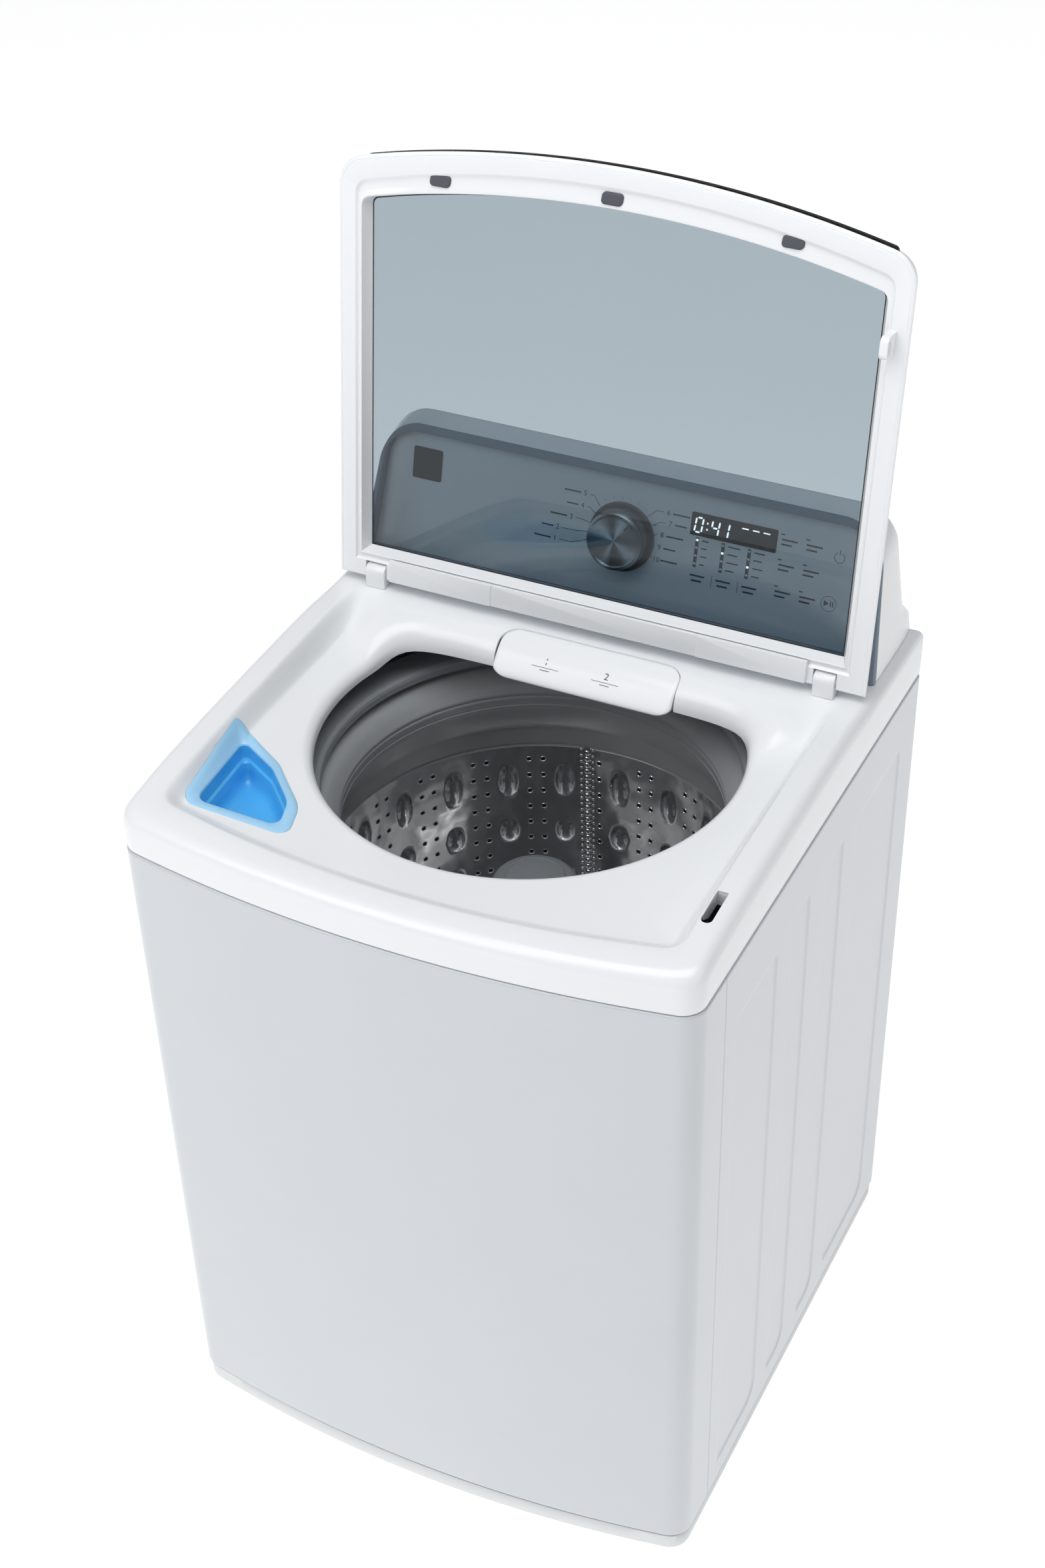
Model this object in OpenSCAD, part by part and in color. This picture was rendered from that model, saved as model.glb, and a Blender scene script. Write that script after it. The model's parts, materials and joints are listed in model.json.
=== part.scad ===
// Top load washing machine: cabinet with a rear console, a glazed lid standing
// open, a sprung tub with a steel basket and agitator, and a direct drive below it.
// Origin on the floor under the middle of the machine. X right, front at -Y, Z up.

/* [Cabinet] */
// Width of the cabinet
body_w = 686; // [670:1:700]
// Depth of the cabinet from the crown of the front to the rear edge
body_d = 705.4; // [695:0.2:720]
// How far the front bows out in the middle
front_bow = 35.1; // [25:0.1:45]
// Radius of the upright front corners
corner_r = 29; // [20:1:40]
// Height of the lower edge of the cabinet sheets
sheet_z0 = 41.6; // [38:0.2:46]
// Height of the joint between the cabinet and the top cover
seam_z = 891.4; // [885:0.2:896]
// Thickness of the sheet steel
sheet_t = 1.2; // [1:0.1:1.6]

/* [Top cover] */
// Radius of the loading mouth
mouth_r = 244.5; // [240:0.5:248]
// Position of the mouth's centre along Y
mouth_y = 6; // [4:1:10]
// Position of the mouth's straight rear edge along Y
mouth_back_y = 124; // [120:1:128]
// Height of the lower edge of the mouth's lip at the front
mouth_z = 909; // [906:1:911]
// Height of the rear deck that carries the console
deck_z = 957.5; // [956:0.5:958]

/* [Lid] */
// Half the width of the lid
lid_hw = 334; // [330:1:338]
// Length of the lid from its rear edge to the middle of its front edge
lid_len = 539; // [530:1:542]
// Thickness of the lid
lid_t = 20; // [18:1:22]
// Lean of the open lid from upright, in degrees
lid_lean = 7.87; // [6:0.01:9]
// Radius of the hinge pins
hinge_pin_r = 4; // [3:0.5:5]

/* [Console] */
// Lean of the control panel from upright, in degrees
panel_lean = 15; // [12:1:18]
// Height of the control panel along its slope
panel_h = 154; // [148:1:158]
// Radius of the control knob
knob_r = 36; // [30:1:38]
// Height of the control knob
knob_h = 26; // [20:1:30]

/* [Washing system] */
// Position of the tub's axis along Y
tub_y = 8; // [6:1:10]
// Inner radius of the outer tub
tub_r = 276; // [274:1:278]
// Inner radius of the steel basket
basket_r = 251; // [248:0.5:252]
// Height of the basket's upper edge
basket_top_z = 735; // [725:1:745]
// Radius of the narrowest part of the balance ring
balance_r = 221; // [218:1:226]
// Height of the agitator's cap
agitator_top_z = 762; // [740:1:780]
// Radius of the drive shaft
shaft_r = 10; // [9:0.5:11]
// Distance of the suspension rods from the tub's axis along X
rod_x = 280; // [276:1:282]
// Distance of the suspension rods from the tub's axis along Y
rod_dy = 270; // [266:1:272]

/* [Hidden] */

// Cabinet
hw = body_w / 2;
back_y = body_d / 2;
corner_y = -body_d / 2 + front_bow;
split_y = -245;
rear_y = 330;
rear_sheet_t = 1.2;
flange_w = 18;
plinth_z0 = 17;
plinth_inset = 9;
foot_x = 285;
foot_ys = [-250, 295];
foot_bore_r = 5.3;
bracket_z = 858;
bracket_reach = 478;
cover_t = 3;
ledge_inset = 36;
pad_inset = 50;
slot_x = [308, 322];
slot_y = [-239, -190];
slot_floor_z = 918;

// Lid hinge and lid placing
hinge_y = 180;
hinge_z = 975;
lid_foot = [0, 173.4, 967.3];
lid_tilt = [90 - lid_lean, 0, 0];
hinge_l = 8.53;
hinge_m = -5.48;
knuckle_x = [272, 297];
glass_hw = 306;
glass_t = 4;

// Console placing
panel_foot = [0, 238, 975];
panel_tilt = [90 - panel_lean, 0, 0];
knob_l = 76;
panel_t = 2.5;
face_x = [-103.5, 123];
tray_x = [face_x[0] + 4, face_x[1] - 4];
tray_y = [170, 320];

// Washing system
tub_wall = 4;
tub_z0 = 244;
tub_top_z = 862;
tub_flange_r = 288;
floor_t = 6;
hub_r = 38;
bearing_r = 26;
spin_r = 17;
run_gap = 0.05;
rod_r = 5;
rod_z0 = 174;
lug_z = 300;
spring_z = [186.3, 299.7];
spring_r = 13;
wire_r = 2;
pump_x = 150;
pump_dy = 122;
drain_xz = [205, 700];
water_z = 832;
water_xs = [-178, -133];
cord_xz = [265, 640];

function unit(v) = v / norm(v);

// Arc of a rounded corner at b, between the edges to a and c.
function corner(a, b, c, r, n) =
    let (u = unit(a - b), v = unit(c - b), half = acos(u * v) / 2,
         mid = b + unit(u + v) * r / sin(half),
         s = b + u * r / tan(half) - mid, e = b + v * r / tan(half) - mid,
         a0 = atan2(s.y, s.x), turn = (atan2(e.y, e.x) - a0 + 900) % 360 - 180)
    [for (i = [0:n]) mid + r * [cos(a0 + turn * i / n), sin(a0 + turn * i / n)]];

function rounded(pts, radii, n = 6) =
    let (m = len(pts))
    [for (i = [0:m - 1]) each corner(pts[(i + m - 1) % m], pts[i], pts[(i + 1) % m], radii[i], n)];

// Bowed plan outline: bowed front edge, round front corners, straight sides and rear.
function bowed(half, yf, yb, bow, r, nf = 24, nc = 6, ns = 12, nr = 16) =
    let (big = (half * half + bow * bow) / (2 * bow), cy = yf - bow + big, xc = half - r,
         yc = cy - sqrt((big - r) * (big - r) - xc * xc), a0 = atan2(yc - cy, xc))
    concat(
        [for (i = [0:nf]) let (a = -180 - a0 + (180 + 2 * a0) * i / nf) [big * cos(a), cy + big * sin(a)]],
        [for (i = [1:nc]) let (a = a0 - a0 * i / nc) [xc + r * cos(a), yc + r * sin(a)]],
        [for (i = [1:ns]) [half, yc + (yb - yc) * i / ns]],
        [for (i = [1:nr]) [half - 2 * half * i / nr, yb]],
        [for (i = [1:ns]) [-half, yb + (yc - yb) * i / ns]],
        [for (i = [1:nc - 1]) let (a = -180 - a0 * i / nc) [-xc + r * cos(a), yc + r * sin(a)]]);

function cabinet_plan(inset) =
    bowed(hw - inset, corner_y + inset, back_y - inset, front_bow, max(corner_r - inset, 6));

// Closed skin over rings of equal length; the last ring joins the first.
module ring_skin(rings) {
    n = len(rings[0]);
    m = len(rings);
    polyhedron(
        points = [for (ring = rings) each ring],
        faces = [for (k = [0:m - 1], i = [0:n - 1], half = [0, 1])
            let (a = k * n + i, b = k * n + (i + 1) % n,
                 c = (k + 1) % m * n + (i + 1) % n, d = (k + 1) % m * n + i)
            half == 0 ? [a, c, b] : [a, d, c]]);
}

// Round tube along a path whose direction is never along side.
module tube_along(path, r, side, sides = 10) {
    n = len(path);
    rings = [for (i = [0:n - 1])
        let (t = unit(path[min(i + 1, n - 1)] - path[max(i - 1, 0)]),
             u = unit(cross(side, t)), v = cross(t, u))
        [for (k = [0:sides - 1]) path[i] + r * (cos(360 * k / sides) * u + sin(360 * k / sides) * v)]];
    polyhedron(
        points = [for (ring = rings) each ring],
        faces = concat(
            [[for (k = [0:sides - 1]) k]],
            [[for (k = [0:sides - 1]) (n - 1) * sides + sides - 1 - k]],
            [for (i = [0:n - 2], k = [0:sides - 1], half = [0, 1])
                let (a = i * sides + k, b = i * sides + (k + 1) % sides,
                     c = (i + 1) * sides + (k + 1) % sides, d = (i + 1) * sides + k)
                half == 0 ? [a, c, b] : [a, d, c]]));
}

// Smooth route through hand-placed points.
function smooth(pts, n = 4) =
    let (m = len(pts))
    [for (i = [0:m - 2], j = [0:n - 1])
        let (p0 = pts[max(i - 1, 0)], p1 = pts[i], p2 = pts[i + 1], p3 = pts[min(i + 2, m - 1)], t = j / n)
        0.5 * (2 * p1 + (p2 - p0) * t + (2 * p0 - 5 * p1 + 4 * p2 - p3) * t * t
            + (3 * p1 - p0 - 3 * p2 + p3) * t * t * t), pts[m - 1]];

module tube(r_out, r_in, z0, z1) {
    translate([0, 0, z0]) difference() {
        cylinder(r = r_out, h = z1 - z0, $fn = 96);
        translate([0, 0, -1]) cylinder(r = r_in, h = z1 - z0 + 2, $fn = 96);
    }
}

module box(x, y, z) translate([x[0], y[0], z[0]]) cube([x[1] - x[0], y[1] - y[0], z[1] - z[0]]);
module on_tub() translate([0, tub_y, 0]) children();
module on_lid() translate(lid_foot) rotate(lid_tilt) children();
module on_panel() translate(panel_foot) rotate(panel_tilt) children();
module at_rods() for (sx = [-1, 1], sy = [-1, 1]) translate([sx * rod_x, tub_y + sy * rod_dy, 0]) children();
module mirrored() { children(); mirror([1, 0, 0]) children(); }

// Cabinet sheets -------------------------------------------------------------
module wall_ring(z0, z1, outer, inner) {
    translate([0, 0, z0]) linear_extrude(z1 - z0) difference() {
        polygon(cabinet_plan(outer));
        polygon(cabinet_plan(inner));
    }
}

module front_panel() color("white") {
    intersection() {
        union() {
            wall_ring(sheet_z0, seam_z, 0, sheet_t);
            wall_ring(sheet_z0, sheet_z0 + sheet_t, sheet_t, 30);
            wall_ring(seam_z - sheet_t, seam_z, sheet_t, 22);
        }
        box([-hw - 1, hw + 1], [-back_y - 1, split_y], [0, 1000]);
    }
    mirrored() box([hw - sheet_t - flange_w, hw - sheet_t], [split_y - sheet_t, split_y], [60, 850]);
}

module side_panel() {
    inner = hw - sheet_t;
    box([inner, hw], [split_y, back_y], [sheet_z0, seam_z]);
    box([inner - flange_w, inner], [split_y, split_y + sheet_t], [60, 850]);
    box([inner - 22, inner], [back_y - sheet_t, back_y], [sheet_z0, seam_z]);
    for (z = [sheet_z0, seam_z - sheet_t])
        box([inner - 22, inner], [split_y + sheet_t, back_y - sheet_t], [z, z + sheet_t]);
}

module right_side_panel() color("white") side_panel();
module left_side_panel() color("white") mirror([1, 0, 0]) side_panel();

module rear_panel() color("gainsboro") {
    inner = hw - sheet_t;
    z = [sheet_z0 + sheet_t, seam_z - sheet_t];
    rim_y = [rear_y + rear_sheet_t, back_y - sheet_t];
    difference() {
        box([-inner, inner], [rear_y, rear_y + rear_sheet_t], z);
        for (x = water_xs) translate([x, rear_y - 1, water_z]) rotate([-90, 0, 0]) cylinder(r = 14, h = 5, $fn = 48);
        translate([drain_xz[0], rear_y - 1, drain_xz[1]]) rotate([-90, 0, 0]) cylinder(r = 17, h = 5, $fn = 48);
        translate([cord_xz[0], rear_y - 1, cord_xz[1]]) rotate([-90, 0, 0]) cylinder(r = 11, h = 5, $fn = 48);
        screw_places() rotate([-90, 0, 0]) translate([0, 0, -1]) cylinder(r = 2, h = 5, $fn = 24);
    }
    mirrored() box([inner - rear_sheet_t, inner], rim_y, z);
    for (zz = [z[0], z[1] - rear_sheet_t])
        box([-inner + rear_sheet_t, inner - rear_sheet_t], rim_y, [zz, zz + rear_sheet_t]);
    // Pressed stiffening ribs
    for (x = [-90, 0, 90]) box([x - 12, x + 12], [rear_y + rear_sheet_t, rear_y + 7], [140, 640]);
}

module screw_places() {
    for (x = [-322, 322], z = [120, 330, 540, 750, 850]) translate([x, rear_y, z]) children();
}

module rear_panel_screws() color("silver") screw_places() rotate([-90, 0, 0]) {
    translate([0, 0, -8]) cylinder(r = 1.95, h = 8 + rear_sheet_t, $fn = 24);
    translate([0, 0, rear_sheet_t]) cylinder(r = 5, h = 3, $fn = 24);
}

module base_frame() color("gainsboro") {
    difference() {
        union() {
            wall_ring(plinth_z0, sheet_z0, plinth_inset, plinth_inset + 3);
            wall_ring(sheet_z0 - 4, sheet_z0, plinth_inset + 3, 110);
            for (x = [-1, 1], y = foot_ys) translate([x * foot_x, y, 25]) cylinder(r = 22, h = sheet_z0 - 25, $fn = 48);
        }
        for (x = [-1, 1], y = foot_ys) translate([x * foot_x, y, 0]) cylinder(r = foot_bore_r, h = 60, $fn = 48);
    }
    for (y = [-120, 150]) box([-240, 240], [y - 20, y + 20], [sheet_z0 - 12, sheet_z0 - 4.5]);
}

module foot_lock_nuts() color("silver") for (x = [-1, 1], y = foot_ys) translate([x * foot_x, y, 17]) difference() {
    cylinder(r = 10, h = 8, $fn = 6);
    translate([0, 0, -1]) cylinder(r = rod_r + 0.1, h = 10, $fn = 48);
}

module foot(x, y) color("dimgray") translate([x, y, 0]) rotate_extrude($fn = 64)
    polygon([[0, 0], [20, 0], [22, 2], [22, 5], [9, 9], [8, 12], [rod_r, 12], [rod_r, 70], [0, 70]]);

// Gusset plates across the corners, with the seats that carry the rods
module corner_brackets() color("silver") difference() {
    intersection() {
        translate([0, 0, bracket_z]) linear_extrude(3) polygon(cabinet_plan(sheet_t));
        box([-hw, hw], [-back_y, rear_y], [0, 1000]);
        union() for (sx = [-1, 1], sy = [-1, 1]) translate([0, tub_y, bracket_z]) linear_extrude(3)
            polygon([[sx * 400, sy * (bracket_reach - 400)], [sx * 400, sy * 400], [sx * (bracket_reach - 400), sy * 400]]);
    }
    at_rods() cylinder(r = 9, h = 1000, $fn = 48);
}

module suspension_rods() color("silver") at_rods() rotate_extrude($fn = 48)
    polygon([[0, rod_z0], [9, rod_z0], [9, 178], [rod_r, 178], [rod_r, 870], [9, 870], [7, 875], [0, 875]]);

module spring_cups() color("dimgray") at_rods() {
    difference() {
        union() {
            translate([0, 0, bracket_z + 3]) cylinder(r = 14, h = 9, $fn = 48);
            translate([0, 0, bracket_z - 1]) cylinder(r = 9, h = 5, $fn = 48);
        }
        cylinder(r = rod_r, h = 1000, $fn = 48);
    }
    translate([0, 0, 178]) difference() {
        cylinder(r = 18, h = 8, $fn = 48);
        translate([0, 0, -1]) cylinder(r = rod_r, h = 10, $fn = 48);
    }
}

module suspension_springs() color("slategray") at_rods() {
    turns = 7;
    per = 14;
    steps = turns * per;
    lift = spring_z[1] - spring_z[0] - 2 * wire_r;
    ring = 6;
    pts = [for (i = [0:steps], k = [0:ring - 1])
        let (a = 360 * i / per, q = 360 * k / ring, r = spring_r + wire_r * cos(q))
        [r * cos(a), r * sin(a), spring_z[0] + wire_r + lift * i / steps + wire_r * sin(q)]];
    polyhedron(points = pts, faces = concat(
        [[for (k = [0:ring - 1]) k]],
        [[for (k = [0:ring - 1]) steps * ring + ring - 1 - k]],
        [for (i = [0:steps - 1], k = [0:ring - 1], half = [0, 1])
            let (a = i * ring + k, b = i * ring + (k + 1) % ring,
                 c = (i + 1) * ring + (k + 1) % ring, d = (i + 1) * ring + k)
            half == 0 ? [a, c, b] : [a, d, c]]));
}

// Top cover ------------------------------------------------------------------
function ridge_z(y) = lookup(y, [
    [-353, 938], [-318, 940.5], [-296, 944], [-209, 953], [-65, 958.4],
    [87, 961], [170, deck_z], [353, deck_z]]);
function pad_z(y) = lookup(y, [[-353, 932], [100, 934], [165, deck_z - 1.5], [353, deck_z - 1]]);
function apron_z(y) = lookup(y, [[-353, 927], [100, 928], [150, 948], [172, deck_z - 2], [353, deck_z - 2]]);
function lip_z(y) = mouth_z + lookup(y, [[-353, 0], [80, 0], [112, 10], [mouth_back_y, 12]]);

// Reach of the mouth's edge from its centre: a circle cut by a straight rear edge, blended.
function mouth_reach(a) =
    let (chord = (mouth_back_y - mouth_y) / max(sin(a), 0.01), p = 8)
    mouth_r * pow(1 + pow(mouth_r / chord, p), -1 / p);

function mouth_loop(grow) = [for (q = cabinet_plan(pad_inset))
    let (a = atan2(q.y - mouth_y, q.x), r = mouth_reach(a) + grow) [r * cos(a), mouth_y + r * sin(a)]];
function lip(grow, lift) = [for (q = mouth_loop(grow)) [q.x, q.y, lip_z(q.y) + lift]];
function level(loop, z) = [for (q = loop) [q.x, q.y, z]];
function ridge(inset, drop) = [for (q = cabinet_plan(inset)) [q.x, q.y, ridge_z(q.y) - drop]];
function pad(drop) = [for (q = cabinet_plan(pad_inset)) [q.x, q.y, pad_z(q.y) - drop]];
function apron(drop) =
    let (a = cabinet_plan(pad_inset), b = mouth_loop(0))
    [for (i = [0:len(a) - 1]) let (q = a[i] * 0.27 + b[i] * 0.73) [q.x, q.y, apron_z(q.y) - drop]];

module top_cover() color("white") difference() {
    ring_skin([
        level(cabinet_plan(0), seam_z), ridge(0, 16), ridge(3, 7), ridge(9, 1.5), ridge(15, 0),
        ridge(ledge_inset, 1), pad(0), apron(0), lip(4, 12), lip(0, 6), lip(0, 0),
        lip(cover_t, 0), lip(cover_t + 3, 6), apron(cover_t + 0.5), pad(cover_t + 0.5),
        ridge(ledge_inset + 1.5, 4.2), ridge(15.5, 3.4), ridge(11, 4.6), ridge(6, 9), ridge(3, 17),
        level(cabinet_plan(3), seam_z)]);
    box([face_x[0] - 1, face_x[1] + 1], [mouth_back_y - 24, tray_y[0] - 3], [880, 980]);
    translate([0, 0, 880]) linear_extrude(90) polygon(cup_plan(1.02));
    box(slot_x, slot_y, [890, 970]);
}

cup_z = 932;
cup_centre = [-240, -208];
cup_corners = [[-304, -113], [-294, -262], [-156, -268], [-172, -214], [-232, -154]];
function cup_plan(k) = [for (q = rounded(cup_corners, [8, 22, 13, 60, 60])) cup_centre + (q - cup_centre) * k];

module bleach_cup() color("deepskyblue") difference() {
    union() {
        translate([0, 0, cup_z - 3]) linear_extrude(3) polygon(cup_plan(1));
        translate([0, 0, cup_z - 50]) linear_extrude(49) polygon(cup_plan(0.76));
    }
    translate([0, 0, cup_z - 47.5]) linear_extrude(60) polygon(cup_plan(0.72));
}

module hinge_knuckles() color("white") mirrored() difference() {
    union() {
        box(knuckle_x, [hinge_y - 10, hinge_y + 10], [deck_z + 0.5, hinge_z]);
        translate([knuckle_x[0], hinge_y, hinge_z]) rotate([0, 90, 0])
            cylinder(r = 10, h = knuckle_x[1] - knuckle_x[0], $fn = 64);
    }
    translate([knuckle_x[0] - 1, hinge_y, hinge_z]) rotate([0, 90, 0])
        cylinder(r = hinge_pin_r + run_gap, h = knuckle_x[1] - knuckle_x[0] + 2, $fn = 64);
}

bolt_y = -214.5;
bolt_z = 936;
module lid_lock_housing() color("dimgray") difference() {
    box([303, 336], [slot_y[0] - 5, slot_y[1] + 5], [slot_floor_z - 4, 940]);
    box(slot_x, slot_y, [slot_floor_z, 960]);
    box([slot_x[1] - 1, 337], [bolt_y - 4.3, bolt_y + 4.3], [bolt_z - 3.3, bolt_z + 3.3]);
}

module lid_lock_bolt() color("white") box([323.5, 336.5], [bolt_y - 4, bolt_y + 4], [bolt_z - 3, bolt_z + 3]);

// Lid: plan across and along the lid, thickness down from the side that faces the drum
function lid_plan(half, l0, l1, r) =
    [for (q = bowed(half, front_bow - l1, -l0, front_bow, r)) [q.x, -q.y]];

module lid_frame() color("white") on_lid() difference() {
    translate([0, 0, -lid_t]) linear_extrude(lid_t) polygon(lid_plan(lid_hw, 0, lid_len, 45));
    // Seat of the glass in the outer side
    translate([0, 0, -lid_t - 1]) linear_extrude(glass_t + 1) polygon(lid_plan(glass_hw + 0.3, 24, lid_len + 2, 40));
    // Window
    translate([0, 0, -lid_t - 1]) linear_extrude(lid_t + 2) polygon(lid_plan(296, 47, 474, 18));
    // Channel round the window
    translate([0, 0, -5]) linear_extrude(6) difference() {
        polygon(lid_plan(324, 34, 512, 38));
        polygon(lid_plan(304, 41, 484, 24));
    }
    // Room for the hinge knuckles, and the bore of the pins
    mirrored() box([knuckle_x[0] - 1.5, knuckle_x[1] + 1.5], [-5, hinge_l + 13], [-lid_t - 1, 1]);
    translate([-310, hinge_l, hinge_m]) rotate([0, 90, 0]) cylinder(r = hinge_pin_r, h = 48, $fn = 64);
    translate([262, hinge_l, hinge_m]) rotate([0, 90, 0]) cylinder(r = hinge_pin_r, h = 48, $fn = 64);
}

module lid_hinge_pins() color("silver") on_lid() mirrored()
    translate([262, hinge_l, hinge_m]) rotate([0, 90, 0]) cylinder(r = hinge_pin_r, h = 48, $fn = 64);

module lid_glass() color("lightsteelblue", 0.5) on_lid()
    translate([0, 0, -lid_t]) linear_extrude(glass_t) polygon(lid_plan(glass_hw, 24.3, lid_len, 40));

module lid_bumpers() color("dimgray") on_lid() for (p = [[-203, 493], [0, 504], [203, 493]])
    translate([p.x, p.y, 0]) linear_extrude(8.5) polygon(rounded(
        [[-12.5, -7], [12.5, -7], [12.5, 7], [-12.5, 7]], [5, 5, 5, 5]));

module lid_striker() color("white") on_lid() difference() {
    box([310, 319], [392, 417], [0, 26]);
    box([309, 320], [397, 411], [13.5, 22.5]);
}

module lid_hinge_cover() color("white") on_lid() box([-266, 264], [2, 30], [0, 5]);

// Console --------------------------------------------------------------------
console_side = rounded([[212, 958], [222, 985], [270, 1122], [314, 1136], [326, 1000], [348, 978], [350, 958]],
    [1, 12, 10, 14, 16, 8, 1], 5);
console_front = rounded([[-331, 958], [331, 958], [312, 1131], [-312, 1131]], [2, 2, 48, 48], 8);
function towards(pts, c, d) = [for (q = pts) q + unit(c - q) * d];

module console_form(grow) intersection() {
    translate([-340, 0, 0]) rotate([90, 0, 90]) linear_extrude(680)
        polygon(towards(console_side, [285, 1040], -grow));
    translate([0, 400, 0]) rotate([90, 0, 0]) linear_extrude(300)
        polygon([for (q = console_front) [q.x * (1 + grow / 320), 958 + (q.y - 958) * (1 + grow / 172)]]);
}

function panel_plan(d) = rounded(
    [[-320 + d, d], [320 - d, d], [304 - d, panel_h - d], [-304 + d, panel_h - d]], [3, 3, 45, 45], 8);

module console_housing() color("white") difference() {
    console_form(0);
    // Recess of the control panel
    on_panel() translate([0, 0, -panel_t]) linear_extrude(80) polygon(panel_plan(0));
    // Inner room, behind a backing wall
    difference() {
        union() {
            console_form(-3);
            box([-300, 300], [262, 340], [950, 980]);
        }
        on_panel() translate([0, 0, -panel_t - 3]) box([-400, 400], [-60, 260], [0, 90]);
    }
    // Ways through for the knob's shaft and the rear cover
    on_panel() translate([0, knob_l, -20]) cylinder(r = 6, h = 40, $fn = 48);
    box([-280, 280], [314, 340], [1008, 1090]);
}

module console_rear_cover() color("silver") translate([-279.5, 0, 0]) rotate([90, 0, 90]) linear_extrude(559)
    polygon([[325, 1008.5], [319.4, 1089.5], [318.2, 1089.5], [323.8, 1008.5]]);

module console_facia() color("silver") on_panel() difference() {
    translate([0, 0, -panel_t]) linear_extrude(panel_t) polygon(panel_plan(0.3));
    translate([0, knob_l, -10]) cylinder(r = 5, h = 20, $fn = 48);
}

module display_window() color("black") on_panel() box([83, 188], [97, 124], [0, 0.8]);

module knob_ring() color("dimgray") on_panel() translate([0, knob_l, 0]) difference() {
    cylinder(r = knob_r + 5, h = 3, $fn = 96);
    translate([0, 0, -1]) cylinder(r = 5, h = 5, $fn = 48);
}

module control_knob() color("silver") on_panel() translate([0, knob_l, 0]) rotate_extrude($fn = 96)
    polygon([[0, -8], [4, -8], [4, 3.4], [knob_r, 3.4], [knob_r, knob_h - 3], [knob_r - 3, knob_h], [0, knob_h]]);

module control_board() color("darkgreen") on_panel() {
    box([-60, 230], [30, 125], [-14, -12]);
    box([-12, 12], [knob_l - 12, knob_l + 12], [-12, -8.3]);
    for (x = [95, 123, 157]) box([x - 5, x + 5], [60, 92], [-12, -8]);
    box([84, 186], [98, 123], [-12, -7]);
    box([-40, -20], [50, 90], [-28, -14]);
    box([40, 70], [45, 70], [-34, -14]);
}

// Dispenser ------------------------------------------------------------------
module dispenser_housing() color("white") difference() {
    box([tray_x[0] - 6, tray_x[1] + 6], [tray_y[0] - 2, tray_y[1] + 5], [899, deck_z - 9]);
    box([tray_x[0] - 1, tray_x[1] + 1], [tray_y[0] - 3, tray_y[1] + 1], [902, deck_z - 11]);
    // Water falls to the tub through the floor
    for (x = [-70, -30, 60, 90]) box([x - 12, x + 12], [185, 215], [890, 905]);
}

module drawer_tray() color("white") difference() {
    box(tray_x, tray_y, [903, 945]);
    box([tray_x[0] + 2, 39], [tray_y[0] + 2, tray_y[1] - 2], [905, 950]);
    box([41, tray_x[1] - 2], [tray_y[0] + 2, tray_y[1] - 2], [905, 950]);
}

module siphon_cap() color("deepskyblue") translate([84, 250, 905]) {
    tube(11, 9, 0, 22);
    translate([0, 0, 22]) cylinder(r = 24, h = 3, $fn = 48);
}

face_curve = [[166, 955], [157, 954.2], [148, 952], [139, 948.2], [131, 942.6], [124, 936], [118, 929.5],
    [113, 923], [110, 917]];
module drawer_front() color("white") {
    inner = [for (i = [len(face_curve) - 1:-1:0]) face_curve[i] + unit([166, 900] - face_curve[i]) * 3.5];
    translate([face_x[0], 0, 0]) rotate([90, 0, 90]) linear_extrude(face_x[1] - face_x[0])
        polygon(concat(face_curve, inner));
    for (x = [tray_x[0], tray_x[1] - 3]) translate([x, 0, 0]) rotate([90, 0, 90]) linear_extrude(3)
        polygon(concat([[163, 917]], inner));
    box(tray_x, [162.5, 166], [905, 952]);
    box([tray_x[0] + 20, tray_x[1] - 20], [166, tray_y[0]], [905, 940]);
}

// Water and power fittings -----------------------------------------------------
module inlet_valve() color("white") {
    box([-197, -114], [295, rear_y], [812, 850]);
    for (x = water_xs) translate([x, rear_y, water_z]) rotate([-90, 0, 0]) {
        tube(13.45, 9, 0, 18);
        tube(17, 13, rear_sheet_t, 2);
    }
    for (x = [-150, -132]) translate([x, 312, 850]) cylinder(r = 5, h = 6, $fn = 32);
}

module fill_hoses() color("dimgray") {
    tube_along(smooth([[-150, 312, 856.2], [-150, 312, 880], [-148, 311, 905], [-138, 310, 924], [-124, 310, 930],
        [-112.5, 310, 931]]), 7, [0, 1, 0]);
    tube_along(smooth([[-132, 312, 856.2], [-132, 312, 868], [-132, 300, 890], [-128, 290, 904], [-120, 288, 909],
        [-112.5, 288, 910]]), 6, [0, 1, 0]);
}

drain_route = [[150, 193.5, 226], [150, 215, 226], [160, 240, 232], [184, 258, 258], [202, 262, 310], [205, 262, 380],
    [205, 262, 490], [205, 262, 600], [205, 264, 655], [205, 277, 688], [205, 300, 699], [205, 321.5, 700]];
module drain_hose() color("dimgray") tube_along(smooth(drain_route, 3), 14, [1, 0, 0]);

module drain_spigot() color("dimgray") translate([drain_xz[0], 0, drain_xz[1]]) rotate([-90, 0, 0]) {
    tube(16, 12.5, 322, 350);
    tube(22, 16, rear_y + rear_sheet_t, rear_y + 4);
}

module cord_gland() color("dimgray") translate([cord_xz[0], 0, cord_xz[1]]) rotate([-90, 0, 0]) {
    tube(11, 4.2, 318, 344);
    tube(15, 11, rear_y + rear_sheet_t, rear_y + 4);
}

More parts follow.
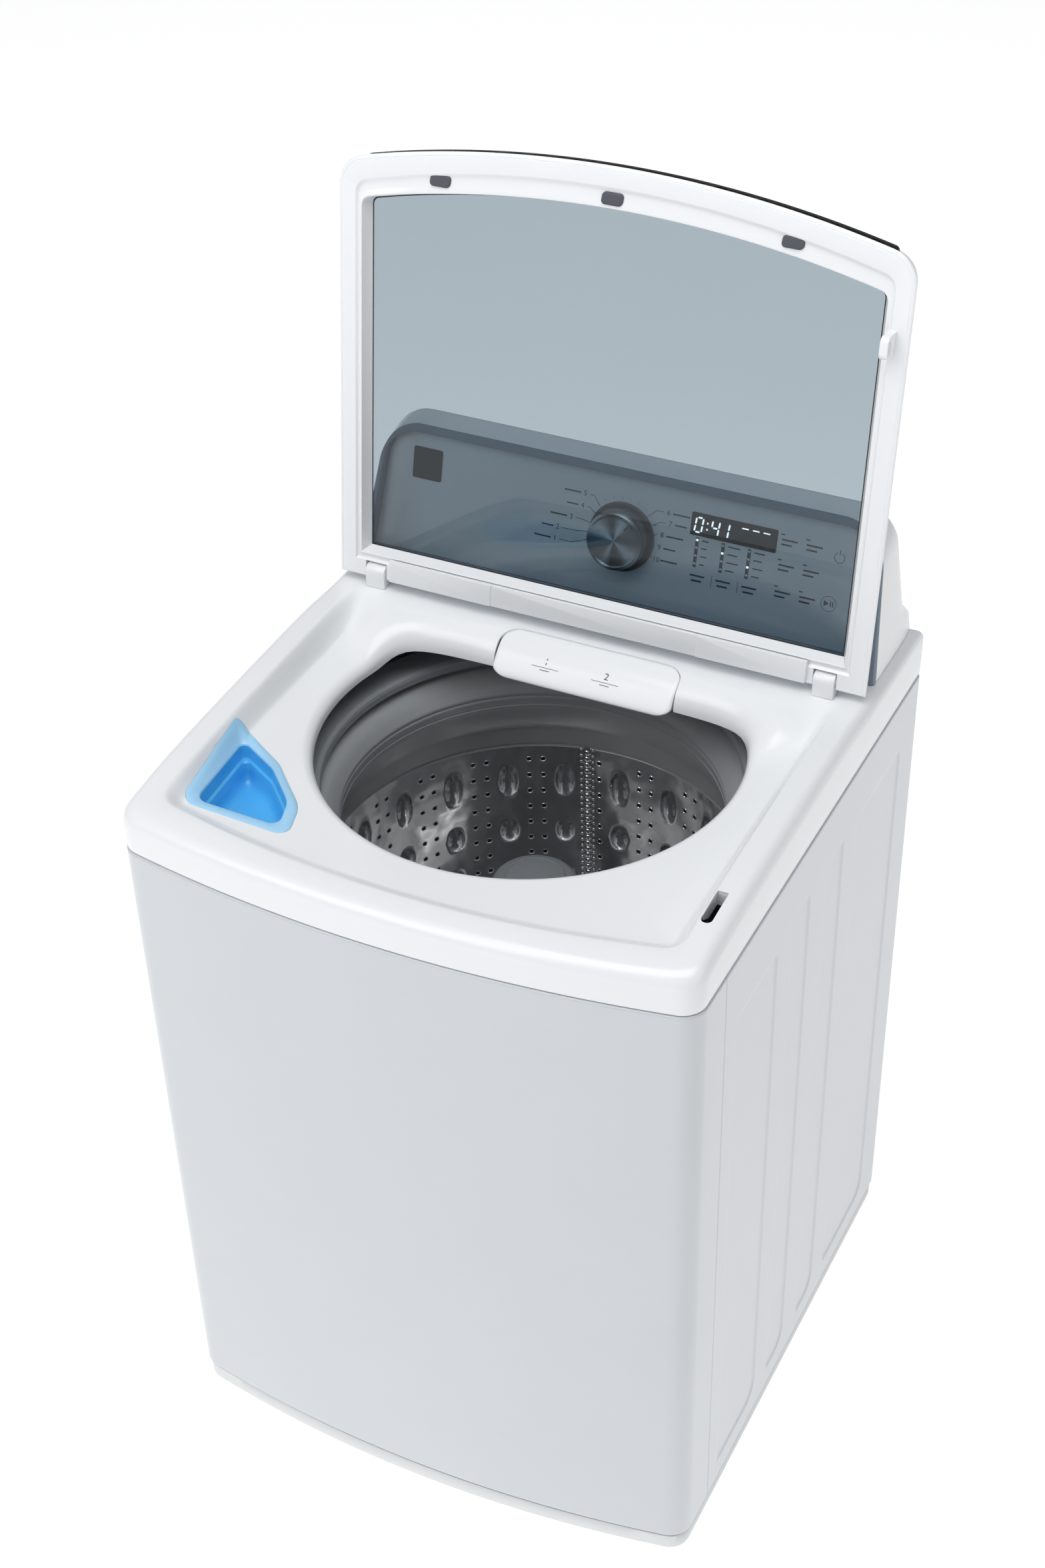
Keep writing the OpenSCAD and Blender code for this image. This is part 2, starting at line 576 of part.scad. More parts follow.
// Outer tub --------------------------------------------------------------------
module outer_tub() color("whitesmoke") on_tub() {
    out_r = tub_r + tub_wall;
    difference() {
        union() {
            rotate_extrude($fn = 128) polygon([
                [hub_r, tub_z0], [out_r - 14, tub_z0], [out_r, tub_z0 + 14], [out_r, tub_top_z - 6],
                [tub_flange_r, tub_top_z - 6], [tub_flange_r, tub_top_z], [tub_r, tub_top_z],
                [tub_r, tub_z0 + 16], [tub_r - 10, tub_z0 + floor_t], [hub_r, tub_z0 + floor_t]]);
            for (a = [22.5:45:337.5]) rotate([0, 0, a]) box([150, out_r - 20], [-2, 2], [tub_z0 - 12, tub_z0 + 1]);
            for (sx = [-1, 1], sy = [-1, 1]) {
                rotate([0, 0, atan2(sy * rod_dy, sx * rod_x)])
                    box([out_r - 2, norm([rod_x, rod_dy]) - 10], [-12, 12], [lug_z, lug_z + 18]);
                translate([sx * rod_x, sy * rod_dy, lug_z]) cylinder(r = 18, h = 18, $fn = 64);
            }
        }
        for (sx = [-1, 1], sy = [-1, 1])
            translate([sx * rod_x, sy * rod_dy, lug_z - 1]) cylinder(r = rod_r + 0.4, h = 20, $fn = 64);
        translate([pump_x, pump_dy, tub_z0 - 1]) cylinder(r = 20, h = floor_t + 2, $fn = 64);
    }
}

module tub_cover_ring() color("darkgray") on_tub() rotate_extrude($fn = 128) polygon([
    [tub_flange_r, tub_top_z], [tub_flange_r, 874], [284, 878], [246, 880], [241, 878.5], [240, 875],
    [240, 868], [243, 866], [244, 874.5], [282, 872.5], [284, tub_top_z]]);

module bearing_housing() color("silver") on_tub() rotate_extrude($fn = 96) polygon([
    [bearing_r, 190], [hub_r, 190], [hub_r, tub_z0 - 8], [110, tub_z0 - 5], [110, tub_z0],
    [hub_r, tub_z0], [hub_r, 262], [bearing_r, 262]]);

module upper_bearing() color("silver") on_tub() tube(bearing_r, spin_r + run_gap, 244, 257);
module lower_bearing() color("silver") on_tub() tube(bearing_r, spin_r + run_gap, 194, 207);
module shaft_seal() color("black") on_tub() tube(bearing_r, spin_r + run_gap, 257, 261.5);

module motor_stator() color("sandybrown") on_tub() {
    tube(70, hub_r, 198, 224);
    for (a = [0:15:345]) rotate([0, 0, a]) box([69, 97], [-6, 6], [200, 222]);
}

module pump_housing() color("gray") on_tub() translate([pump_x, pump_dy, 0]) difference() {
    union() {
        translate([0, 0, 206]) cylinder(r = 34, h = tub_z0 - 206, $fn = 64);
        translate([0, 0, 226]) rotate([-90, 0, 0]) cylinder(r = 14, h = 60.4, $fn = 48);
    }
    translate([0, 0, 212]) cylinder(r = 29, h = 27, $fn = 64);
    translate([0, 0, 230]) cylinder(r = 20, h = 20, $fn = 64);
    translate([0, 0, 200]) cylinder(r = 3.08, h = 20, $fn = 48);
    translate([0, 0, 226]) rotate([-90, 0, 0]) cylinder(r = 10.5, h = 70, $fn = 48);
}

module pump_motor() color("dimgray") on_tub() translate([pump_x, pump_dy, 150]) {
    cylinder(r = 27, h = 46, $fn = 64);
    translate([0, 0, 46]) cylinder(r = 18, h = 10, $fn = 64);
    box([-20, 20], [-36, -20], [10, 40]);
}

module pump_impeller() color("white") on_tub() translate([pump_x, pump_dy, 0]) {
    translate([0, 0, 206.3]) cylinder(r = 3, h = 20, $fn = 48);
    translate([0, 0, 214]) cylinder(r = 22, h = 2, $fn = 64);
    translate([0, 0, 215]) cylinder(r = 7, h = 15, $fn = 48);
    for (a = [0:60:300]) rotate([0, 0, a]) box([6, 22], [-1, 1], [215, 228]);
}

// Basket -----------------------------------------------------------------------
wall = 1.5;
module basket() color("silver") on_tub() rotate_extrude($fn = 128) polygon([
    [basket_r, basket_top_z], [basket_r, 290], [basket_r - 8, 282], [basket_r - 20, 280], [basket_r - 20, 280 - wall],
    [basket_r - 7, 280 - wall], [basket_r + wall, 289], [basket_r + wall, basket_top_z]]);

module balance_ring() color("gray") on_tub() rotate_extrude($fn = 128) polygon([
    [basket_r, basket_top_z], [basket_r - 3, 757], [basket_r - 11, 780], [balance_r + 7, 802], [balance_r, 820],
    [balance_r, 834], [balance_r + 6, 848], [balance_r + 18, 857], [balance_r + 34, 860], [265, 857], [268, 850],
    [268, basket_top_z - 4], [264, basket_top_z - 14], [basket_r + wall + 0.3, basket_top_z - 14],
    [basket_r + wall + 0.3, basket_top_z]]);

module basket_hub() color("whitesmoke") on_tub() rotate_extrude($fn = 128) polygon([
    [spin_r, 266], [70, 266], [120, 272], [basket_r - 20, 274], [basket_r - 20, 281], [120, 281],
    [70, 278], [spin_r, 277]]);

module spin_tube() color("silver") on_tub() {
    difference() {
        union() {
            translate([0, 0, 186]) cylinder(r = spin_r, h = 90, $fn = 96);
            translate([0, 0, 263]) cylinder(r = 34, h = 3, $fn = 96);
        }
        translate([0, 0, 180]) cylinder(r = shaft_r + run_gap, h = 120, $fn = 96);
    }
}

// Agitator and drive -------------------------------------------------------------
module agitator() color("darkgray") on_tub() {
    // Thin post and skirt, open below
    rotate_extrude($fn = 96) polygon([
        [168, 288], [168, 292], [150, 300], [110, 316], [76, 350], [62, 400], [56, 480], [52, 600], [50, 700],
        [56, 732], [56, 738], [51, 738], [46, 702], [48, 600], [52, 480], [58, 400], [72, 348], [107, 312],
        [148, 296], [164, 288]]);
    // Hub that drives it, carried by a web
    tube(20, 14, 286, 345);
    tube(69, 19, 341, 345);
    for (a = [0:90:270]) rotate([0, 0, a + 20]) rotate([90, 0, 0]) translate([0, 0, -3]) linear_extrude(6)
        polygon([[50, 640], [56, 400], [76, 345], [108, 315], [150, 299], [142, 330], [112, 420], [92, 520],
            [70, 600]]);
}

module agitator_cap() color("gray") on_tub() rotate_extrude($fn = 96) polygon([
    [0, agitator_top_z - 6], [0, agitator_top_z], [30, agitator_top_z - 1], [50, agitator_top_z - 4],
    [62, agitator_top_z - 9], [66, agitator_top_z - 16], [66, 738.2], [57, 738.2], [56, agitator_top_z - 16],
    [50, agitator_top_z - 10]]);

module drive_shaft() color("silver") on_tub() {
    translate([0, 0, 152]) cylinder(r = shaft_r, h = 150, $fn = 96);
    translate([0, 0, 286]) cylinder(r = 13.95, h = 54, $fn = 96);
}

module motor_rotor() color("gray") on_tub() {
    tube(110, 102, 172, 226);
    tube(103, shaft_r, 172, 176);
    tube(24, shaft_r, 158, 176);
}

// Build --------------------------------------------------------------------------
front_panel();
left_side_panel();
right_side_panel();
rear_panel();
base_frame();
foot_lock_nuts();
corner_brackets();
suspension_rods();
spring_cups();
suspension_springs();
top_cover();
bleach_cup();
hinge_knuckles();
lid_lock_housing();
console_housing();
console_rear_cover();
console_facia();
display_window();
knob_ring();
control_board();
dispenser_housing();
inlet_valve();
fill_hoses();
drain_hose();
drain_spigot();
cord_gland();
rear_panel_screws();
foot(-foot_x, foot_ys[0]);  // foot_front_left
foot(foot_x, foot_ys[0]);  // foot_front_right
foot(-foot_x, foot_ys[1]);  // foot_rear_left
foot(foot_x, foot_ys[1]);  // foot_rear_right
lid_lock_bolt();
control_knob();
drawer_tray();
drawer_front();
siphon_cap();
outer_tub();
tub_cover_ring();
bearing_housing();
upper_bearing();
lower_bearing();
shaft_seal();
motor_stator();
pump_housing();
pump_motor();
pump_impeller();
basket();
balance_ring();
basket_hub();
spin_tube();
agitator();
agitator_cap();
drive_shaft();
motor_rotor();
lid_frame();
lid_glass();
lid_bumpers();
lid_striker();
lid_hinge_pins();
lid_hinge_cover();
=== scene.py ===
import json
import math

import bmesh
import bpy
from mathutils import Matrix, Vector
from mathutils.bvhtree import BVHTree

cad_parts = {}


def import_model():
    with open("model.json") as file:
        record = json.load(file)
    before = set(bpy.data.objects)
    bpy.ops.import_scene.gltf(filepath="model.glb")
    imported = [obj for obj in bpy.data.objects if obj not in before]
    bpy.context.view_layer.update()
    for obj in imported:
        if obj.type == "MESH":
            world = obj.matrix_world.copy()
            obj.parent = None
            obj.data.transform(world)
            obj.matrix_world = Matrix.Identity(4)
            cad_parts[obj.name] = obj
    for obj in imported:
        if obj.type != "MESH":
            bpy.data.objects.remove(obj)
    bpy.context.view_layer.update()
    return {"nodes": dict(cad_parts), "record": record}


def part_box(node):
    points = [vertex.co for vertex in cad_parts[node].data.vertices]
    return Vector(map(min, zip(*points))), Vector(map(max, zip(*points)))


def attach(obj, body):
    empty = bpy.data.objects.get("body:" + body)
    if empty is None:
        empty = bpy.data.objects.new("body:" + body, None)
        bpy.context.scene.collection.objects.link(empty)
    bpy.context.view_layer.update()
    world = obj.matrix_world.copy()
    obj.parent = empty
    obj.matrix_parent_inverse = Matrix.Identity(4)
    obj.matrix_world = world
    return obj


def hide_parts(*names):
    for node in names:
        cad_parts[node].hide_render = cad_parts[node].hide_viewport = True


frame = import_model()

MM = 0.001


# Numbers and outlines, in millimetres
def mm(node):
    """Lowest and highest corner of a CAD node, in millimetres."""
    low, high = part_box(node)
    return Vector(low) / MM, Vector(high) / MM


def mix(a, b, t):
    return a + (b - a) * t


def ease(x, low, high):
    """0 below low, 1 above high, and a smooth step between them."""
    t = min(max((x - low) / (high - low), 0.0), 1.0)
    return t * t * (3 - 2 * t)


def steps(low, high, count):
    """count + 1 evenly spaced numbers from low to high."""
    return [mix(low, high, i / count) for i in range(count + 1)]


def lookup(x, table):
    """Straight lines through a table of (x, value), held level past its ends."""
    if x <= table[0][0]:
        return table[0][1]
    for (x0, v0), (x1, v1) in zip(table, table[1:]):
        if x <= x1:
            return mix(v0, v1, (x - x0) / (x1 - x0))
    return table[-1][1]


def curve(x, table):
    """A smooth curve through a table of (x, value), held level past its ends."""
    last = len(table) - 1
    if x <= table[0][0]:
        return table[0][1]
    if x >= table[last][0]:
        return table[last][1]

    def slope(k):
        a = table[max(k - 1, 0)]
        b = table[min(k + 1, last)]
        return 0.0 if k in (0, last) else (b[1] - a[1]) / (b[0] - a[0])

    i = max(k for k in range(last) if table[k][0] <= x)
    (x0, v0), (x1, v1) = table[i], table[i + 1]
    span = x1 - x0
    t = (x - x0) / span
    return (
        v0 * (1 + 2 * t) * (1 - t) ** 2
        + v1 * t * t * (3 - 2 * t)
        + slope(i) * span * t * (1 - t) ** 2
        - slope(i + 1) * span * t * t * (1 - t)
    )


def arc_line(centre, radius, angles):
    return [(centre[0] + radius * math.cos(a), centre[1] + radius * math.sin(a)) for a in angles]


def rounded(corners, radii, turn=8, edge=1):
    """A closed outline with round corners; each straight edge is split into edge pieces."""
    arcs = []
    count = len(corners)
    for i, (corner, radius) in enumerate(zip(corners, radii)):
        p = Vector(corner)
        a = (Vector(corners[i - 1]) - p).normalized()
        b = (Vector(corners[(i + 1) % count]) - p).normalized()
        half = a.angle(b) / 2
        centre = p + (a + b).normalized() * radius / math.sin(half)
        start = p + a * radius / math.tan(half) - centre
        end = p + b * radius / math.tan(half) - centre
        from_angle = math.atan2(start.y, start.x)
        sweep = (math.atan2(end.y, end.x) - from_angle + math.pi) % (2 * math.pi) - math.pi
        arcs.append(arc_line(centre, radius, steps(from_angle, from_angle + sweep, turn)))
    loop = []
    for i, arc in enumerate(arcs):
        loop.extend(arc)
        after = arcs[(i + 1) % count][0]
        for t in steps(0, 1, edge)[1:-1]:
            loop.append((mix(arc[-1][0], after[0], t), mix(arc[-1][1], after[1], t)))
    return loop


def rounded_box(x, y, radius, turn=8):
    """A rectangle with round corners; x and y are its two edges on each axis."""
    return rounded([(x[0], y[0]), (x[1], y[0]), (x[1], y[1]), (x[0], y[1])], [radius] * 4, turn)


def bowed(half, front, back, bow, radius, counts=(24, 6, 12, 16)):
    """A plan with a bowed front, round front corners and square rear ones.

    front is where the bow meets the sides."""
    n_front, n_corner, n_side, n_back = counts
    big = (half * half + bow * bow) / (2 * bow)
    cy = front - bow + big
    xc = half - radius
    yc = cy - math.sqrt((big - radius) ** 2 - xc * xc)
    a0 = math.atan2(yc - cy, xc)
    loop = arc_line((0, cy), big, steps(-math.pi - a0, a0, n_front)[:-1])
    loop += arc_line((xc, yc), radius, steps(a0, 0, n_corner)[:-1])
    loop += [(half, y) for y in steps(yc, back, n_side)[:-1]]
    loop += [(x, back) for x in steps(half, -half, n_back)[:-1]]
    loop += [(-half, y) for y in steps(back, yc, n_side)[:-1]]
    return loop + arc_line((-xc, yc), radius, steps(math.pi, math.pi - a0, n_corner)[:-1])


# Meshes
class Shape:
    """Points in millimetres and the faces between them, gathered from several skins."""

    def __init__(self):
        self.points = []
        self.faces = []

    def rows(self, rows, closed=False, loop=False):
        """A skin over rows of points: closed joins the ends of each row, loop the last row to the first."""
        base = len(self.points)
        width = len(rows[0])
        count = len(rows)
        for row in rows:
            self.points.extend(tuple(p) for p in row)
        for i in range(count if loop else count - 1):
            for j in range(width if closed else width - 1):
                k = (j + 1) % width
                here = base + i * width
                there = base + (i + 1) % count * width
                self.faces.append((here + j, here + k, there + k, there + j))
        return self

    def cap(self, row):
        base = len(self.points)
        self.points.extend(tuple(p) for p in row)
        self.faces.append(tuple(range(base, base + len(row))))
        return self

    def solid(self, rings):
        """A closed body through closed rings, with flat ends."""
        return self.rows(rings, closed=True).cap(rings[0]).cap(rings[-1])

    def box(self, x, y, z):
        """A block between two values on each axis."""
        loop = [(x[0], y[0]), (x[1], y[0]), (x[1], y[1]), (x[0], y[1])]
        return self.solid([[(a, b, c) for a, b in loop] for c in z])

    def prism(self, outline, z0, z1):
        return self.solid([[(x, y, z) for x, y in outline] for z in (z0, z1)])

    def band(self, outer, inner, z0, z1):
        """A ring of square section between two outlines with as many points as each other."""
        rings = [(outer, z0), (outer, z1), (inner, z1), (inner, z0)]
        return self.rows([[(x, y, z) for x, y in line] for line, z in rings], closed=True, loop=True)

    def lathe(self, profile, count=96, centre=(0.0, 0.0), loop=True):
        """Turned about the vertical through centre; profile is a list of (radius, height)."""
        turns = [i * 2 * math.pi / count for i in range(count)]
        rings = [[(x, y, height) for x, y in arc_line(centre, radius, turns)] for radius, height in profile]
        return self.rows(rings, closed=True, loop=loop)

    def moved(self, way):
        self.points = [tuple(way(*p)) for p in self.points]
        return self


def smooth(thing, angle=40):
    thing.data.shade_smooth()
    thing.data.set_sharp_from_angle(angle=math.radians(angle))


def place(name, data):
    thing = bpy.data.objects.new(name, data)
    bpy.context.scene.collection.objects.link(thing)
    return thing


def mesh_of(name, shape, facing=True):
    """A mesh of a shape, in metres. facing turns its faces outwards, which a closed shape wants."""
    mesh = bpy.data.meshes.new(name)
    mesh.from_pydata([Vector(p) * MM for p in shape.points], [], shape.faces)
    form = bmesh.new()
    form.from_mesh(mesh)
    bmesh.ops.remove_doubles(form, verts=form.verts, dist=2e-6)
    bmesh.ops.dissolve_degenerate(form, edges=form.edges, dist=1e-6)
    if facing:
        bmesh.ops.recalc_face_normals(form, faces=form.faces)
    form.to_mesh(mesh)
    form.free()
    return mesh


def piece(name, shape, material, body="cabinet", slot=None, replaces=(), angle=40, matrix=None, facing=True):
    """A visible piece, made from a shape."""
    mesh = mesh_of(name, shape, facing)
    mesh.materials.append(material)
    thing = place(name, mesh)
    if matrix:
        thing.matrix_world = matrix
    smooth(thing, angle)
    bpy.context.view_layer.update()
    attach(thing, body)
    if replaces:
        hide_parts(*replaces)
    return thing


def settle(thing, angle=40):
    """Makes a piece's modifiers part of its mesh."""
    graph = bpy.context.evaluated_depsgraph_get()
    mesh = bpy.data.meshes.new_from_object(thing.evaluated_get(graph))
    thing.modifiers.clear()
    thing.data = mesh
    smooth(thing, angle)


def carve(thing, *shapes, angle=40):
    """Cuts closed shapes out of a piece."""
    cutters = [place("cutter", mesh_of("cutter", shape)) for shape in shapes]
    for cutter in cutters:
        cut = thing.modifiers.new("cut", "BOOLEAN")
        cut.operation = "DIFFERENCE"
        cut.solver = "EXACT"
        cut.use_self = True
        cut.object = cutter
    settle(thing, angle)
    for cutter in cutters:
        bpy.data.objects.remove(cutter)


def round_edges(thing, width, angle):
    """Rounds sharp edges, width in millimetres."""
    bevel = thing.modifiers.new("soft edges", "BEVEL")
    bevel.width = width * MM
    bevel.segments = 2
    bevel.limit_method = "ANGLE"
    bevel.angle_limit = math.radians(angle)


def thicken(thing, thickness, offset=-1):
    """Gives a sheet its thickness, inwards from its face."""
    solid = thing.modifiers.new("sheet", "SOLIDIFY")
    solid.thickness = thickness * MM
    solid.offset = offset
    settle(thing)


# Materials
def fill(tree, node, sockets):
    """Sets a node's inputs, each to a value or to another node's output."""
    for name, value in sockets.items():
        if isinstance(value, bpy.types.NodeSocket):
            tree.links.new(value, node.inputs[name])
        else:
            node.inputs[name].default_value = value


def shade(tree, kind, sockets, out=0, **settings):
    """A new shader node; gives back one of its outputs."""
    node = tree.nodes.new("ShaderNode" + kind)
    for name, value in settings.items():
        setattr(node, name, value)
    fill(tree, node, sockets)
    return node.outputs[out]


def surface(
    name, colour, rough=0.35, metal=0.0, grain=1.2, relief=0.01, mottle=0.02, vary=0.05,
    stretch=(1, 1, 1), swell=0.0, swell_size=60, coat=0.0, specular=0.5,
):
    """A finish with grain. grain is the size of its bumps, relief their height and swell a slow waviness, in
    millimetres; mottle is how far the colour wanders and vary how far the roughness does."""
    material = bpy.data.materials.new(name)
    material.use_nodes = True
    tree = material.node_tree
    spot = shade(tree, "TexCoord", {}, "Object")
    mapped = shade(tree, "Mapping", {"Vector": spot, "Scale": stretch})
    fine = shade(tree, "TexNoise", {"Vector": mapped, "Scale": 1 / (grain * MM), "Detail": 3}, "Fac")
    wide = shade(tree, "TexNoise", {"Vector": spot, "Scale": 9, "Detail": 4}, "Fac")
    dark = (*[c * (1 - mottle) for c in colour], 1)
    light = (*[min(c * (1 + mottle), 1) for c in colour], 1)
    tint = shade(tree, "Mix", {"Factor": wide, "A": dark, "B": light}, "Result", data_type="RGBA")
    spread = shade(tree, "MapRange", {"Value": fine, "To Min": max(rough - vary, 0.02),
                                      "To Max": rough + vary})
    bumps = {"Strength": 1.0, "Distance": relief * MM, "Height": fine}
    if swell:
        slow = shade(tree, "TexNoise", {"Vector": spot, "Scale": 1 / (swell_size * MM), "Detail": 2}, "Fac")
        bumps["Normal"] = shade(tree, "Bump", {"Distance": swell * MM, "Height": slow})
    fill(tree, tree.nodes["Principled BSDF"], {
        "Base Color": tint, "Metallic": metal, "Roughness": spread, "Coat Weight": coat,
        "Coat Roughness": 0.12, "Specular IOR Level": specular, "Normal": shade(tree, "Bump", bumps),
    })
    return material


def glowing(name, colour, strength):
    """A lit mark: the light is a little uneven, as behind a diffuser."""
    material = surface(name, colour, rough=0.5, mottle=0.1, grain=0.4)
    shader = material.node_tree.nodes["Principled BSDF"]
    shader.inputs["Emission Color"].default_value = (*colour, 1)
    shader.inputs["Emission Strength"].default_value = strength
    return material


# Painted highlights for spun metal: where round the turn (0 to 1), and how bright the colour is painted
# there.
PAINTED_HIGHLIGHT_WEDGES = [
    (0.0, 0.16), (0.06, 0.16), (0.16, 0.95), (0.27, 0.22), (0.36, 0.30), (0.44, 0.9), (0.53, 0.16),
    (0.66, 0.95), (0.77, 0.2), (0.87, 0.3), (0.94, 0.95), (1.0, 0.16),
]


def spun(name, colour, rough):
    """Metal turned on a lathe about its own Z axis: fine rings, and painted highlights that fan out as
    bright and dark wedges by angle in its colour.
    """
    material = surface(name, colour, rough=rough, metal=1.0, grain=3, relief=0.0, mottle=0.02)
    tree = material.node_tree
    spot = shade(tree, "TexCoord", {}, "Object")
    # Painted highlight: the base colour turns bright and dark by angle about the Z axis, as fans of
    # reflected light.
    fan = shade(tree, "TexGradient", {"Vector": spot}, "Fac", gradient_type="RADIAL")
    painted_highlights = shade(tree, "ValToRGB", {"Fac": fan}, "Color")
    ramp = painted_highlights.node.color_ramp
    ramp.interpolation = "EASE"
    for at, _ in PAINTED_HIGHLIGHT_WEDGES[1:-1]:
        ramp.elements.new(at)
    for stop, (_, painted_tone) in zip(ramp.elements, PAINTED_HIGHLIGHT_WEDGES):
        stop.color = (*[painted_tone * c for c in colour], 1)
    rings = shade(tree, "TexWave", {"Vector": spot, "Scale": 900, "Distortion": 0.4}, "Fac",
                  wave_type="RINGS", rings_direction="Z")
    fill(tree, tree.nodes["Principled BSDF"], {
        "Base Color": painted_highlights, "Anisotropic": 0.8,
        "Tangent": shade(tree, "Tangent", {}, direction_type="RADIAL", axis="Z"),
        "Normal": shade(tree, "Bump", {"Distance": 0.004 * MM, "Height": rings}),
    })
    return material


def clear_glass(name, colour):
    """Toughened tinted glass with a faint unevenness of tint, which lets light through to what is behind."""
    material = surface(name, colour, rough=0.03, grain=40, relief=0.0, mottle=0.01, vary=0.0)
    tree = material.node_tree
    shader = tree.nodes["Principled BSDF"]
    for used in list(shader.inputs["Roughness"].links):
        tree.links.remove(used)
    fill(tree, shader, {"Transmission Weight": 1.0, "IOR": 1.45, "Roughness": 0.0})
    through = shade(tree, "BsdfTransparent", {"Color": (*[math.sqrt(c) for c in colour], 1)})
    shadow = shade(tree, "LightPath", {}, "Is Shadow Ray")
    either = shade(tree, "MixShader", {0: shadow, 1: shader.outputs["BSDF"], 2: through})
    fill(tree, tree.nodes["Material Output"], {"Surface": either})
    return material


PLASTIC = dict(grain=0.9, relief=0.012, mottle=0.012, coat=0.15)
FINISHES = {
    "cabinet_enamel": surface("enamel", (0.62, 0.645, 0.675), 0.3, grain=1.6, relief=0.02, coat=0.3,
                              swell=0.12, swell_size=220),
    "galvanised_steel": surface("galvanised", (0.55, 0.57, 0.59), 0.42, 0.85, grain=9, relief=0.01,
                                mottle=0.12, vary=0.14),
    "base_plastic": surface("base plastic", (0.74, 0.745, 0.75), 0.45, grain=0.7, relief=0.03, mottle=0.02),
    "zinc_steel": surface("zinc", (0.62, 0.63, 0.64), 0.3, 1.0, grain=1.0, relief=0.01, mottle=0.05,
                          vary=0.1),
    "dark_plastic": surface("dark plastic", (0.022, 0.023, 0.025), 0.42, grain=0.5, relief=0.03,
                            mottle=0.08),
    "spring_steel": surface("spring steel", (0.20, 0.21, 0.22), 0.38, 0.9, grain=0.8, relief=0.02,
                            mottle=0.1),
    "cover_plastic": surface("white cover", (0.86, 0.875, 0.895), 0.24, **PLASTIC),
    "cup_blue": surface("cup blue", (0.14, 0.48, 0.82), 0.3, **PLASTIC),
    "panel_silver": surface("brushed panel", (0.76, 0.765, 0.78), 0.42, 0.15, grain=0.5, relief=0.01,
                            mottle=0.03, stretch=(0.012, 1, 1), vary=0.1),
    "display_black": surface("display", (0.008, 0.013, 0.02), 0.3, grain=3, relief=0.0, mottle=0.1,
                             vary=0.01, specular=0.2),
    "board_green": surface("board", (0.02, 0.16, 0.06), 0.4, grain=2.5, relief=0.06, mottle=0.25),
    "white_plastic": surface("white plastic", (0.78, 0.79, 0.80), 0.4, **PLASTIC),
    "black_rubber": surface("black rubber", (0.02, 0.02, 0.021), 0.6, grain=0.8, relief=0.05, mottle=0.15),
    "foot_plastic": surface("foot plastic", (0.05, 0.052, 0.055), 0.55, grain=0.6, relief=0.05, mottle=0.1),
    "knob_chrome": surface("chrome", (0.78, 0.79, 0.80), 0.14, 1.0, grain=2, relief=0.004, mottle=0.02),
    "tub_plastic": surface("tub plastic", (0.52, 0.54, 0.56), 0.5, grain=1.4, relief=0.05, mottle=0.05),
    "cover_ring_grey": surface("ring grey", (0.26, 0.275, 0.295), 0.4, grain=1.0, relief=0.02, mottle=0.04),
    "cast_alloy": surface("cast alloy", (0.45, 0.46, 0.47), 0.5, 0.9, grain=1.8, relief=0.15, mottle=0.12,
                          vary=0.12),
    "copper_winding": surface("winding", (0.42, 0.13, 0.04), 0.35, 0.9, grain=0.7, relief=0.12, mottle=0.2,
                              stretch=(1, 1, 6)),
    "pump_plastic": surface("pump plastic", (0.10, 0.105, 0.11), 0.45, grain=0.8, relief=0.03, mottle=0.06),
    "drum_steel": surface("drum steel", (0.95, 0.955, 0.96), 0.12, 1.0, grain=0.8, relief=0.004, mottle=0.03,
                          stretch=(1, 1, 0.05), swell=2.6, swell_size=75, vary=0.05),
    "balance_grey": surface("balance grey", (0.33, 0.345, 0.36), 0.3, grain=0.9, relief=0.015, mottle=0.03,
                            coat=0.2),
    "agitator_grey": surface("agitator grey", (0.25, 0.265, 0.28), 0.36, grain=0.9, relief=0.02,
                             mottle=0.03),
    "agitator_cap_grey": surface("cap grey", (0.19, 0.205, 0.22), 0.34, grain=0.8, relief=0.02, mottle=0.03),
    "rotor_steel": surface("rotor steel", (0.06, 0.062, 0.065), 0.4, 0.6, grain=1.2, relief=0.03,
                           mottle=0.08),
    "lid_plastic": surface("lid white", (0.86, 0.875, 0.895), 0.26, **PLASTIC),
    "lid_glass": clear_glass("tinted glass", (0.36, 0.43, 0.475)),
    "bumper_grey": surface("bumper rubber", (0.075, 0.082, 0.10), 0.62, grain=0.7, relief=0.04, mottle=0.08),
}
INK = surface("printed ink", (0.035, 0.045, 0.06), 0.45, grain=0.5, relief=0.005, mottle=0.1)
PALE_INK = surface("pale ink", (0.80, 0.84, 0.88), 0.4, grain=0.5, relief=0.005, mottle=0.05)
FRIT = surface("black frit", (0.006, 0.006, 0.007), 0.25, grain=0.5, relief=0.002, mottle=0.1)
# Painted shade: a near-black finish put where an opening shows only shade.
SHADE_PAINT = surface("dark inside", (0.004, 0.004, 0.005), 0.7, grain=1, relief=0.02, mottle=0.2)
FLANGE_BLUE = surface("flange blue", (0.38, 0.68, 0.93), 0.28, **PLASTIC)
WELL_BLUE = surface("well blue", (0.08, 0.46, 0.86), 0.26, **PLASTIC)
# The knob's face, with highlights painted into its colour by angle.
KNOB_FACE_PAINTED_HIGHLIGHTS = spun("spun chrome", (0.86, 0.88, 0.90), 0.24)
NAVY = surface("navy skirt", (0.015, 0.03, 0.05), 0.22, grain=1.5, relief=0.004, mottle=0.05, coat=0.3)
SLATE = surface("slate rim", (0.20, 0.25, 0.31), 0.35, **PLASTIC)
# Painted shadow: the grey of the shade under the sheets' lower edge.
PAINTED_SHADOW = surface("shadow gap", (0.16, 0.165, 0.17), 0.8, grain=1, relief=0.01, mottle=0.1)
LIT = glowing("lit mark", (0.9, 0.95, 1.0), 2.2)

